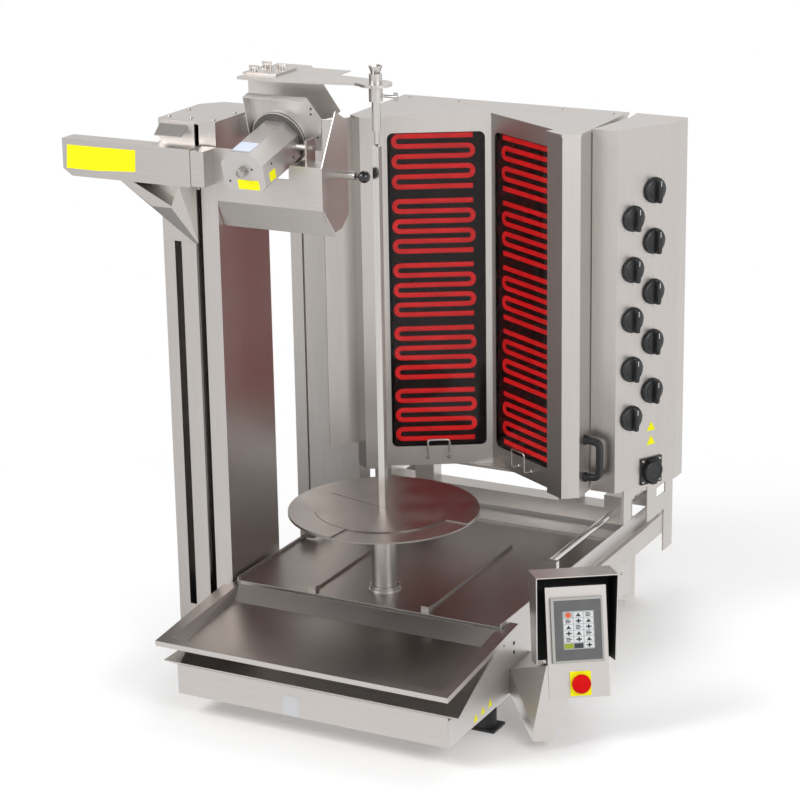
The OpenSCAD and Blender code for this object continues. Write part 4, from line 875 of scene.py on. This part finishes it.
@dataclass
class Heater:
    """The two glowing panels, their bails and screws."""

    meet_y: float = 889.0
    angle: float = math.radians(30)
    bars: int = 6
    zones: int = 5
    pitch: float = 23.2
    zone_pitch: float = 149.5
    first_bar_z: float = 1073.0
    bar_w: float = 11.0
    bar_t: float = 2.2
    left_s: float = 42.5
    right_s: float = 220.5
    depth: float = 3.75
    bail_s0: float = 103.0
    bail_w: float = 50.0
    bail_z0: float = 310.0
    bail_z1: float = 356.0
    bail_face: float = -1.5
    bail_out: float = -20.0
    bail_r: float = 2.6
    bail_bend: float = 6.0
    boss: Outline = ((5.5, 0), (5.5, 1.2), (4.4, 2.2), (0, 2.2))
    screw: Pair = (3.2, 1.4)
    screw_x: tuple[float, ...] = (-255, -130, 130, 255)
    screw_y: float = 985.0
    screw_z: float = 1117.0

    def panel(self, mirrored: bool) -> Matrix:
        """Local frame of a panel: x along it, y inward, z up."""
        flip = Matrix.Scale(-1, 4, Vector((1, 0, 0))) if mirrored else Matrix()
        return flip @ Matrix.Translation((0, self.meet_y, 0)) @ Matrix.Rotation(-self.angle, 4, "Z")

    def build_coils(self) -> None:
        """Serpentine ribbons of both panels, behind the glass."""
        lengths = {"Pitch": self.pitch, "Zone Pitch": self.zone_pitch, "Left": self.left_s, "Right": self.right_s,
                   "Width": self.bar_w, "Thickness": self.bar_t}
        mesh = grown_mesh(bpy.data.meshes.new("coil_seed"), serpentine_tree(), {
            "Bars": self.bars, "Zones": self.zones, "Finish": COIL.material(),
            **{name: mm / MM_PER_M for name, mm in lengths.items()}})
        draft = bmesh.new()
        for mirrored in (False, True):
            one = mesh.copy()
            place = Matrix.Translation((0, self.depth, self.first_bar_z - self.bar_w / 2))
            one.transform(Drawing.matrix() @ self.panel(mirrored) @ place @ Matrix.Scale(MM_PER_M, 4))
            draft.from_mesh(one)
        bmesh.ops.recalc_face_normals(draft, faces=draft.faces)
        result = bpy.data.meshes.new("heater_coils")
        draft.to_mesh(result)
        draft.free()
        settle_piece(result, "heater_coils", "heater", COIL, replaces=("heating_elements",))

    def build_bails(self) -> None:
        """Bent wire bails at the foot of each panel, each end in a small boss."""
        draft = Draft()
        s0, s1 = self.bail_s0, self.bail_s0 + self.bail_w
        face, out, z0, z1 = self.bail_face, self.bail_out, self.bail_z0, self.bail_z1
        corners = [(s0, face, z0), (s0, out, z0), (s0, out, z1), (s1, out, z1), (s1, out, z0), (s1, face, z0)]
        off_path = Vector((0.35, 0.5, 0.2))
        for mirrored in (False, True):
            place = self.panel(mirrored)
            turn = place.to_3x3()
            path = [place @ p for p in rounded_path(corners, self.bail_bend)]
            draft.sweep(path, circle(self.bail_r, 14), up=turn @ off_path)
            for s in (s0, s1):
                draft.lathe(self.boss, facing(place @ Vector((s, face, z0)), turn @ FRONT), 20)
        draft.piece("panel_wire_bails", "heater", ROD_STEEL, replaces=("panel_bails",))

    def build(self) -> None:
        """All of the heater's own pieces, with the screws along the rear of its cover."""
        self.build_coils()
        self.build_bails()
        spots = [(x, self.screw_y, self.screw_z) for x in self.screw_x]
        Screws("heater", "heater_screws", *self.screw).at(UP, *spots).build()


@dataclass
class ControlBox:
    """Knob face with its ten dials, inlet flap and side handle."""

    corner: Pair = (341.4, 805.0)
    turn: float = math.radians(61.5)
    columns: Pair = (103.3, 44.7)
    heights: tuple[float, ...] = (973.5, 917.9, 859.3, 802.4, 744.3, 688.2, 628.5, 574.3, 514.3, 460.0)
    stand_off: float = 1.0
    skirt: Outline = ((0, 0), (27.8, 0), (29, 1.0), (29, 3.4), (28.3, 5.2), (26.6, 6.8), (23.5, 8.2),
                      (20.5, 9.0), (19.8, 10.4), (18, 11.2), (0, 11.6))
    grip_levels: tuple[Pair, ...] = ((0, 1.02), (6, 1.02), (19.5, 0.99), (22.2, 0.95), (23.4, 0.86), (24, 0.7))
    grip_steps: int = 24
    grip_half_l: float = 26.8
    grip_half_w: float = 6.2
    grip_waist: float = 1.1
    pointer: tuple[Point, Point] = ((-0.9, 12.0, 23.5), (0.9, 24.0, 24.15))
    tick_r: float = 32.5
    tick_ends: Pair = (36.5, 35.0)
    tick_half_w: float = 0.5
    ticks: int = 7
    inlet_z: float = 326.0
    plate_out: float = 4.0
    lid_out: float = 13.3
    plate_screw: Pair = (24.0, 25.0)
    screw: Pair = (3.4, 1.6)
    lid: Outline = ((24.2, -0.4), (24.2, 1.0), (22.6, 2.2), (19.4, 2.4), (18.6, 1.2), (0, 1.2))
    pull: Rect = (-9, 9, -30.5, -22)
    pull_z: Pair = (-4, 1.4)
    triangle: Outline = ((-12.5, -10), (12.5, -10), (0, 12))
    triangle_z: Pair = (430.0, 397.0)
    handle_x: Pair = (280.0, 316.0)
    handle_y: float = 778.0
    handle_z: Pair = (330.0, 418.0)
    handle_rake: float = 3.0
    handle_bend: float = 13.0
    handle_section: Rect = (-7, 7, -9, 9)
    handle_foot: Outline = ((11.5, 0), (11.5, 3), (8.5, 9), (0, 9))

    def spot(self, along: float, out: float, z: float) -> Matrix:
        """Local frame on the knob face: x along it, y up, z outward.

        Args:
            along: Distance along the face from its left edge.
            out: Distance in front of it.
            z: Height.

        Returns:
            Local frame to drawing frame.
        """
        run = Vector((math.cos(self.turn), math.sin(self.turn), 0))
        outward = Vector((math.sin(self.turn), -math.cos(self.turn), 0))
        return facing(Vector((*self.corner, z)) + run * along + outward * out, outward)

    def grip_outline(self) -> Outline:
        """Outline of a dial's grip: a bar with round ends and a slight waist.

        Returns:
            The outline's points.
        """
        grip = []
        for x, y in circle(1.0, self.grip_steps):
            waist = self.grip_half_w - self.grip_waist * (1 - abs(y)) * (abs(x) > 0.2)
            grip.append((math.copysign(min(abs(x) ** 0.5, 1), x) * waist,
                         math.copysign(abs(y) ** 0.75, y) * self.grip_half_l))
        return grip

    def build_dial(self, i: int) -> None:
        """One dial: turned skirt, grip with rounded ends and a white pointer line.

        Args:
            i: The dial's number, from zero.
        """
        place = self.spot(self.columns[i % 2], self.stand_off, self.heights[i])
        body = f"dial_{i + 1}"
        draft = Draft()
        draft.lathe(self.skirt, place, 64)
        grip = self.grip_outline()
        draft.skin([[place @ Vector((x * k, y * (1 + k) / 2, z)) for x, y in grip] for z, k in self.grip_levels])
        draft.piece(body + "_knob", body, POLYAMIDE, replaces=(f"knob_{i + 1}",))
        line = Draft()
        line.block(*self.pointer, place)
        line.piece(body + "_pointer", body, MARK_PALE)

    def build_scales(self) -> None:
        """Printed ticks round each dial."""
        draft = Draft()
        for i, z in enumerate(self.heights):
            place = self.spot(self.columns[i % 2], 0, z)
            for k in range(self.ticks):
                turned = place @ quarter("Z", 1 - k / 2)
                draft.block((self.tick_r, -self.tick_half_w, 0),
                            (self.tick_ends[k % 2], self.tick_half_w, 0.15), turned)
        draft.piece("dial_scale_ticks", "heater", PRINT_GREY, smooth=False)

    def build_inlet(self) -> None:
        """Screws, rim and pull of the inlet flap."""
        along, (x, y) = self.columns[0], self.plate_screw
        plate = self.spot(along, self.plate_out, self.inlet_z)
        row = Screws("heater", "inlet_screws", *self.screw)
        row.at(UP, (-x, -y, 0), (-x, y, 0), (x, -y, 0), (x, y, 0), place=plate).build()
        lid = Draft()
        top = self.spot(along, self.lid_out, self.inlet_z)
        lid.lathe(self.lid, top)
        lid.prism(rounded_outline(self.pull, 3), *self.pull_z, top)
        lid.piece("inlet_flap_rim", "lid", POLYAMIDE)

    def build_labels(self) -> None:
        """Two bare yellow triangles below the dials."""
        flat_piece("knob_face_triangles", "heater", YELLOW,
                   *((self.triangle, 0, FILM_T, self.spot(self.columns[0], 0, z)) for z in self.triangle_z))

    def build_handle(self) -> None:
        """Bow handle with rounded corners and feet."""
        draft = Draft()
        (x0, x1), y, (z0, z1), rake = self.handle_x, self.handle_y, self.handle_z, self.handle_rake
        path = rounded_path([(x0, y, z0), (x1, y, z0 + rake), (x1, y, z1 - rake), (x0, y, z1)], self.handle_bend)
        draft.sweep(path, rounded_outline(self.handle_section, 4), up=-FRONT)
        for z in (z0, z1):
            draft.lathe(self.handle_foot, facing((x0, y, z), RIGHT), 28)
        draft.piece("side_bow_handle", "heater", POLYAMIDE, replaces=("side_handle",))

    def build(self) -> None:
        """Everything on the knob face, and the handle beside it."""
        for i in range(len(self.heights)):
            self.build_dial(i)
        self.build_scales()
        self.build_inlet()
        self.build_labels()
        self.build_handle()


class Mark(Enum):
    """Generic mark on a key, by the outlines that draw it."""

    TRIANGLE = (((-5.5, -3.5), (5.5, -3.5), (0, 4.2)),)
    LINES = tuple(rectangle((-6, 6 - abs(k), k - 0.9, k + 0.9)) for k in (-3, 0, 3))
    CROSS = (rectangle((-1.6, 1.6, -4.4, 4.4)), rectangle((-6, 6, -1.4, 1.4)))


@dataclass
class Panel:
    """Control panel: display, keys, black painted shade inside the hood, stop button and its plate."""

    corner: Point = (420.0, 251.0, 276.0)
    turn: float = math.radians(34)
    tilt: float = math.radians(14.9)
    screen: Rect = (33.0, 99.0, -130.0, -50.0)
    screen_gap: float = 0.4
    glass_z: Pair = (5.5, 5.9)
    margins: Pair = (1.5, 2.0)
    key_gaps: Pair = (0.9, 0.8)
    key_top: float = 6.15
    mark_top: float = 6.3
    bar_top: float = 6.2
    dot_r: float = 5.6
    columns: int = 3
    rows: int = 6
    no_key: tuple[tuple[int, int], ...] = ((0, 0), (1, 0), (0, 5))
    strip_outer: Rect = (9.5, 116.5, -157.0, -22.5)
    strip_inner: Rect = (15.5, 113.6, -152.0, -27.5)
    strip_z: Pair = (7.05, 7.45)
    hood_x: Pair = (-19.0, 153.5)
    hood_y: Pair = (-9.0, 92.0)
    hood_z: Pair = (-157.0, 21.0)
    hood_rise: float = 7.0
    hood_cut: float = 38.0
    hood_lean: Pair = (6.0, 13.0)
    # Distances of the painted shade sheets from the hood's outer faces.
    shade_sheet_insets: Pair = (2.8, 2.1)
    hood_faces: tuple[tuple[int, ...], ...] = ((0, 3, 7, 4), (1, 5, 6, 2), (4, 7, 6, 5), (3, 2, 6, 7))
    stop: Pair = (66.0, -201.0)
    mushroom: Outline = ((0, -10), (9.8, -10), (9.8, 8.0), (12, 9.0), (18.2, 9.6), (19.6, 10.6), (20, 12.2),
                         (19.6, 14.2), (18.0, 16.8), (14.5, 19.0), (9.5, 20.3), (4.5, 20.9), (0, 21.0))
    collar: Outline = ((12.6, 2.6), (13.4, 2.6), (13.4, 3.1), (12.8, 3.6), (10.4, 3.6), (10.4, 2.6))
    plate: Rect = (-22, 22, -25.5, 25.5)
    plate_z: Pair = (2.0, 2.6)

    def frame(self) -> Matrix:
        """Local frame: x right, y up the panel, z outward, at the panel's top left corner."""
        at = Matrix.Translation(self.corner) @ Matrix.Rotation(self.turn, 4, "Z") @ Matrix.Rotation(-self.tilt, 4, "X")
        return at @ quarter("X")

    def build_display(self) -> None:
        """Lit glass with plain keys, and generic marks on them."""
        place, gap = self.frame(), self.screen_gap
        x0, x1, y0, y1 = self.screen
        low, glass_top = self.glass_z
        glass = rounded_outline((x0 + gap, x1 - gap, y0 + gap, y1 - gap), 1.5)
        flat_piece("display_glass", "frame", SCREEN, (glass, low, glass_top, place))
        keys, marks, dot = Draft(), Draft(), Draft()
        left, foot = x0 + self.margins[0], y0 + self.margins[1]
        step_x, step_y = (x0 + x1 - 2 * left) / self.columns, (y0 + y1 - 2 * foot) / self.rows
        w, h = step_x / 2 - self.key_gaps[0], step_y / 2 - self.key_gaps[1]
        for col in range(self.columns):
            for row in range(self.rows):
                if (col, row) not in self.no_key:
                    x, y = left + step_x * (col + 0.5), foot + step_y * (row + 0.5)
                    key = rounded_outline((x - w, x + w, y - h, y + h), 1.2, 3)
                    keys.prism(key, glass_top, self.key_top, place)
                    for outline in list(Mark)[(col + row) % len(Mark)].value:
                        marks.prism(outline, self.key_top, self.mark_top, place @ Matrix.Translation((x, y, 0)))
        foot, bar_end = foot + gap, y0 + step_y
        dark = rectangle((left + step_x, left + 2 * step_x - 2, foot, bar_end))
        marks.prism(dark, glass_top, self.bar_top, place)
        keys.piece("display_keys", "frame", MARK_PALE, smooth=False)
        marks.piece("display_key_marks", "frame", MARK_DARK, smooth=False)
        olive = rectangle((left + 0.3, x0 + step_x, foot, bar_end))
        flat_piece("display_olive_bar", "frame", MARK_OLIVE, (olive, glass_top, self.bar_top, place))
        middle = Matrix.Translation((left + step_x / 2, y1 - self.margins[1] - step_y / 2, 0))
        dot.lathe([(self.dot_r, glass_top), (self.dot_r, self.mark_top), (0, self.mark_top)], place @ middle, 24)
        dot.piece("display_dot", "frame", MARK_ORANGE, smooth=False)

    def build_strip(self) -> None:
        """Pale strip round the display's frame."""
        a0, a1, b0, b1 = self.strip_outer
        c0, c1, d0, d1 = self.strip_inner
        sides = ((a0, a1, d1, b1), (a0, a1, b0, d0), (a0, c0, d0, d1), (c1, a1, d0, d1))
        flat_piece("display_frame_strip", "frame", FRAME_GREY,
                   *((rectangle(side), *self.strip_z, self.frame()) for side in sides))

    def hood_corners(self, inset: float) -> list[Vector]:
        """Corners of the hood's inside at a distance from its outer faces: four low, four high.

        Args:
            inset: The distance.

        Returns:
            The eight corners.
        """
        left, right = self.hood_x[0] + inset, self.hood_x[1] - inset
        front, back = self.hood_y[0] + 1, self.hood_y[1] - inset
        low, top = self.hood_z[0] + 1, self.hood_z[1] - inset
        lean_left, lean_right = left - self.hood_lean[0], right - self.hood_lean[1]
        cut_back = back - self.hood_cut
        corners = [(lean_left, front, low), (lean_right, front, low), (lean_right, cut_back, low),
                   (lean_left, cut_back, low), (left, front, top), (right, front, top),
                   (right, back, top + self.hood_rise), (left, back, top + self.hood_rise)]
        return [self.frame() @ Vector((x, z, -y)) for x, y, z in corners]

    def build_hood_shade(self) -> None:
        """Black sheets of painted shade on the inner faces of the hood: both sides, top and back."""
        near, far = (self.hood_corners(inset) for inset in self.shade_sheet_insets)
        draft = Draft()
        for quad in self.hood_faces:
            draft.skin([[near[k] for k in quad], [far[k] for k in quad]])
        draft.piece("hood_lining", "frame", SHADOW_BLACK, smooth=False)

    def build_stop(self) -> None:
        """Mushroom head with a rounded rim, its collar and its yellow plate."""
        place = self.frame() @ Matrix.Translation((*self.stop, 0))
        flat_piece("stop_plate_film", "frame", YELLOW, (rounded_outline(self.plate, 2.5), *self.plate_z, place))
        head, collar = Draft(), Draft()
        head.lathe(self.mushroom, place, 64)
        head.piece("stop_mushroom", "stop", STOP_RED, replaces=("stop_button",))
        collar.lathe(self.collar, place)
        collar.piece("stop_collar", "frame", SHADOW_BLACK)

    def build(self) -> None:
        """The panel's own pieces."""
        self.build_display()
        self.build_strip()
        self.build_hood_shade()
        self.build_stop()


@dataclass
class Head:
    """Cutting head: guard, thickness dial, films and screws."""

    at: Point = (-206.0, 150.0, 1113.0)
    tilt: float = math.radians(14)
    half_w: float = 49.0
    half_h: float = 43.0
    guard: Outline = ((40, 150.9), (60, 150.9), (61.4, 151.4), (62.1, 152.9), (62.1, 156), (40, 156))
    dial_ribs: int = 36
    dial_r: Pair = (10.3, 11.0)
    dial_z: Pair = (0.8, 12.5)
    dial_cap: Outline = ((8.4, 12.5), (8.0, 13.6), (6.4, 14), (0, 14))
    front_film: Rect = (-16, 34, -40, -19)
    side_film: Rect = (20, 44, -29, -8)
    top_film: Rect = (-21, 21, 6, 46)
    screw: Pair = (2.4, 1.2)
    front_screws: tuple[Point, ...] = ((22, 0, 6), (-34, 0, -24))
    side_screws: tuple[Point, ...] = ((49, 34, 6), (49, 120, -20))
    carrier_screws: tuple[Point, ...] = ((82, 163, 72), (80, 163, 60), (88, 163, 8))

    def frame(self) -> Matrix:
        """Local frame at the front face: x right, y along the head, z up."""
        return Matrix.Translation(self.at) @ Matrix.Rotation(self.tilt, 4, "X")

    def build_guard(self) -> None:
        """Pressed cup over the guard with a rolled front edge, in dark satin grey as painted shade."""
        draft = Draft()
        draft.lathe(self.guard, self.frame() @ quarter("X", -1), 72)
        draft.piece("blade_guard_cup", "head", GUARD_SHADE_GREY)

    def build_dial(self) -> None:
        """Knurled thickness dial, ribs set round its rim."""
        place = self.frame() @ quarter("X")
        draft = Draft()
        knurl = [(x * self.dial_r[k % 2], y * self.dial_r[k % 2])
                 for k, (x, y) in enumerate(circle(1.0, 2 * self.dial_ribs))]
        draft.prism(knurl, *self.dial_z, place)
        draft.lathe(self.dial_cap, place, 40)
        draft.piece("thickness_dial", "dial", BOLT_STEEL, replaces=("head_knob",))

    def build_films(self) -> None:
        """Blank films: yellow on the front and the right side, pale blue on top."""
        frame = self.frame()
        front = frame @ quarter("X")
        side = frame @ quarter("Z") @ quarter("X")
        flat_piece("head_films", "head", YELLOW, (rounded_outline(self.front_film, 1.5), 0, FILM_T, front),
                   (rounded_outline(self.side_film, 1.5), self.half_w, self.half_w + FILM_T, side))
        flat_piece("head_top_film", "head", PALE_BLUE,
                   (rectangle(self.top_film), self.half_h, self.half_h + FILM_T, frame))

    def build_screws(self) -> None:
        """Small screws of the head's front, side and carrier."""
        row, frame = Screws("head", "head_screws", *self.screw), self.frame()
        for outward, spots in ((FRONT, self.front_screws), (RIGHT, self.side_screws), (FRONT, self.carrier_screws)):
            row.at(outward, *spots, place=frame)
        row.build(DARK_BOLT)

    def build(self) -> None:
        """The head's own pieces."""
        self.build_guard()
        self.build_dial()
        self.build_films()
        self.build_screws()


@dataclass
class Base:
    """Films, plugged holes, screws and triangles on the drawer's front and the base's right side."""

    side_x: float = 320.0
    drawer_film: Rect = (-63, -25, 3, 46)
    triangle: Outline = ((-10, -8), (10, -8), (0, 10))
    triangles: tuple[Pair, ...] = ((128.5, 15.7), (162, 19), (197, 21.5))
    plugs: tuple[Point, ...] = ((315.5, 111, 4.2), (315.4, 90.5, 4.2), (266, 123, 2.2))
    screw: Pair = (4.6, 2.0)
    screws: tuple[Pair, ...] = ((313, 152), (700, 60), (900, 60))

    def build_films(self) -> None:
        """A bare pale film on the drawer's front, and three bare triangles low on the side."""
        flat_piece("drawer_film", "drawer", FILM_GREY,
                   (rounded_outline(self.drawer_film, 2), 0, 0.25, facing((0, 0, 0), FRONT)))
        flat_piece("base_side_triangles", "frame", YELLOW,
                   *((self.triangle, 0, FILM_T, facing((self.side_x, y, z), RIGHT)) for y, z in self.triangles))

    def build_holes(self) -> None:
        """Plugged holes, each with its radius, and screws of the side plate."""
        draft = Draft()
        for y, z, r in self.plugs:
            draft.lathe([(r, 0), (r, 0.4), (r - 0.6, 0.8), (0, 0.8)], facing((self.side_x, y, z), RIGHT), 24)
        draft.piece("base_side_plugs", "frame", SHADOW_BLACK)
        spots = [(self.side_x, y, z) for y, z in self.screws]
        Screws("frame", "base_side_screws", *self.screw).at(RIGHT, *spots).build()

    def build(self) -> None:
        """The base's own pieces."""
        self.build_films()
        self.build_holes()


@dataclass
class Tower:
    """Tower and arm: film and screws."""

    arm_front: float = 200.0
    film: Outline = ((-674, 1071), (-597, 1071), (-500, 1077), (-498, 1123), (-593, 1122),
                     (-670, 1122))
    top_z: float = 1186.0
    screw: Pair = (4.2, 2.0)
    screws: tuple[Pair, ...] = ((-345, 270), (-345, 440), (-400, 270), (-455, 272), (-455, 350),
                                 (-345, 355))

    def build(self) -> None:
        """A blank yellow film on the arm, and the screws of the tower's cap."""
        flat_piece("arm_film", "lift", YELLOW,
                   (self.film, 0, FILM_T, facing((0, self.arm_front, 0), FRONT)))
        spots = [(x, y, self.top_z) for x, y in self.screws]
        Screws("frame", "tower_screws", *self.screw).at(UP, *spots).build()


@dataclass
class Studio:
    """Camera, floor, lamps and world."""

    eye: Point = (2412.2, -4158.8, 2200.6)
    pitch: float = math.radians(17.42)
    yaw: float = math.radians(27.75)
    roll: float = 0.01701373
    focal_px: float = 2528.0
    photo_px: int = 800
    sensor_mm: float = 36.0
    far_m: float = 60.0
    floor_m: float = 14.0
    floor_drop_m: float = 0.0005
    world_level: float = 0.62
    side_level: float = 0.15
    side_x: Pair = (-0.92, -0.55)
    top_level: float = 0.3
    top_z: Pair = (0.3, 0.6)
    fade: Pair = (0.9, 1.7)
    lamps: tuple[tuple[str, Point, Point, float, float], ...] = (
        ("key_lamp", (-2600, -2800, 3600), (0, 400, 500), 2.6, 130),
        ("fill_lamp", (3200, -1200, 2400), (0, 400, 500), 2.2, 50),
        ("top_lamp", (0, 1800, 3800), (0, 500, 500), 2.4, 40))

    def build_camera(self) -> None:
        """Camera at the photograph's place."""
        right = Vector((math.cos(self.yaw), math.sin(self.yaw), 0))
        level = Vector((-math.sin(self.yaw), math.cos(self.yaw), 0))
        ahead = level * math.cos(self.pitch) - UP * math.sin(self.pitch)
        down = ahead.cross(right)
        side = right * math.cos(self.roll) + down * math.sin(self.roll)
        low = down * math.cos(self.roll) - right * math.sin(self.roll)
        data = bpy.data.cameras.new("photo_camera")
        data.sensor_width = self.sensor_mm
        data.lens = self.focal_px / self.photo_px * self.sensor_mm
        data.clip_end = self.far_m
        camera = new_object("photo_camera", data)
        turn = Matrix((side, -low, -ahead)).transposed().to_4x4()
        camera.matrix_world = Matrix.Translation(Drawing.point(*self.eye)) @ turn
        bpy.context.scene.camera = camera

    def light_level(self, tree: Tree, direction: Socket) -> Socket:
        """Level of the light that gloss sees: bright in front and at the right, softer at the left and overhead.

        Args:
            tree: The tree to build in.
            direction: Unit vector away from the object.

        Returns:
            The level, one at its brightest.
        """
        parts = add(tree, "ShaderNodeSeparateXYZ", {0: direction}).outputs
        flank = span(tree, parts["X"], self.side_x, (self.side_level, 1.0), smooth=True)
        above = span(tree, parts["Z"], self.top_z, (1.0, self.top_level), smooth=True)
        return calc(tree, "MULTIPLY", flank, above)

    def build_floor(self) -> None:
        """Plain pale floor that keeps the shadow; it fades to white with distance, and for gloss to the level."""
        mesh = bpy.data.meshes.new("studio_floor")
        bm = bmesh.new()
        bmesh.ops.create_grid(bm, x_segments=1, y_segments=1, size=self.floor_m)
        bm.transform(Matrix.Translation((0, 0, -self.floor_drop_m)))
        bm.to_mesh(mesh)
        bm.free()
        floor = new_object("studio_floor", mesh)
        material = bpy.data.materials.new("white_studio_floor")
        material.use_nodes = True
        tree = material.node_tree
        surface = Surface(tree, tree.nodes["Principled BSDF"])
        surface.give({"Base Color": linear("#FAFAFA"), "Roughness": 0.9, "Specular IOR Level": 0.1})
        place = surface.place()
        reach = add(tree, "ShaderNodeVectorMath", {0: place}, operation="LENGTH").outputs["Value"]
        rays = add(tree, "ShaderNodeLightPath").outputs
        seen = calc(tree, "MULTIPLY", span(tree, reach, self.fade, smooth=True), rays["Is Camera Ray"])
        share = calc(tree, "MAXIMUM", seen, rays["Is Glossy Ray"])
        way = add(tree, "ShaderNodeVectorMath", {0: place}, operation="NORMALIZE").outputs["Vector"]
        strength = calc(tree, "MAXIMUM", self.light_level(tree, way), rays["Is Camera Ray"])
        white = add(tree, "ShaderNodeEmission", {"Color": WHITE, "Strength": strength})
        mix = add(tree, "ShaderNodeMixShader", {0: share, 1: surface.shader, 2: white})
        tree.links.new(mix.outputs[0], tree.nodes["Material Output"].inputs["Surface"])
        mesh.materials.append(material)

    def build_lamp(self, name: str, at: Point, aim: Point, size: float, power: float) -> None:
        """A large soft lamp that looks from at to aim, in drawing millimetres.

        Args:
            name: The lamp's name.
            at: Its place.
            aim: The point that it looks at.
            size: Its diameter in metres.
            power: Its power in watts.
        """
        data = bpy.data.lights.new(name, "AREA")
        data.shape = "DISK"
        data.size = size
        data.energy = power
        start, end = Drawing.point(*at), Drawing.point(*aim)
        turn = (end - start).to_track_quat("-Z", "Y").to_matrix().to_4x4()
        new_object(name, data).matrix_world = Matrix.Translation(start) @ turn

    def build_world(self) -> None:
        """White for the camera and glass, the level for gloss; an even light for everything else."""
        world = bpy.data.worlds.new("studio_world")
        world.use_nodes = True
        tree = world.node_tree
        tree.nodes.clear()
        rays = add(tree, "ShaderNodeLightPath").outputs
        direct = calc(tree, "MAXIMUM", rays["Is Camera Ray"], rays["Is Glossy Ray"])
        share = calc(tree, "MAXIMUM", direct, rays["Is Transmission Ray"])
        soft = add(tree, "ShaderNodeBackground", {"Color": WHITE, "Strength": self.world_level})
        way = add(tree, "ShaderNodeTexCoord").outputs["Generated"]
        clear = calc(tree, "SUBTRACT", 1.0, rays["Is Glossy Ray"])
        level = calc(tree, "MAXIMUM", self.light_level(tree, way), clear)
        bright = add(tree, "ShaderNodeBackground", {"Color": WHITE, "Strength": level})
        mix = add(tree, "ShaderNodeMixShader", {0: share, 1: soft, 2: bright})
        add(tree, "ShaderNodeOutputWorld", {"Surface": mix})
        bpy.context.scene.world = world

    def build(self) -> None:
        """The whole studio."""
        self.build_camera()
        self.build_floor()
        self.build_world()
        for lamp in self.lamps:
            self.build_lamp(*lamp)
        bpy.context.scene.view_settings.view_transform = "Standard"


def dress_frame(nodes: dict[str, bpy.types.Object]) -> None:
    """Gives each CAD node its finish.

    Args:
        nodes: Node name to object.
    """
    for finish, names in CAD_FINISHES.items():
        for name in names:
            mesh = nodes[name].data
            if mesh.materials:
                for k in range(len(mesh.materials)):
                    mesh.materials[k] = finish.material()
            else:
                mesh.materials.append(finish.material())


def main() -> None:
    """Loads the frame, dresses it and builds the pieces."""
    logging.basicConfig(level=logging.INFO, format="%(name)s: %(message)s")
    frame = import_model()
    Drawing.settle()
    Studio().build()
    dress_frame(frame["nodes"])
    for part in (Heater(), ControlBox(), Panel(), Head(), Base(), Tower()):
        part.build()


if __name__ == "__main__":
    main()
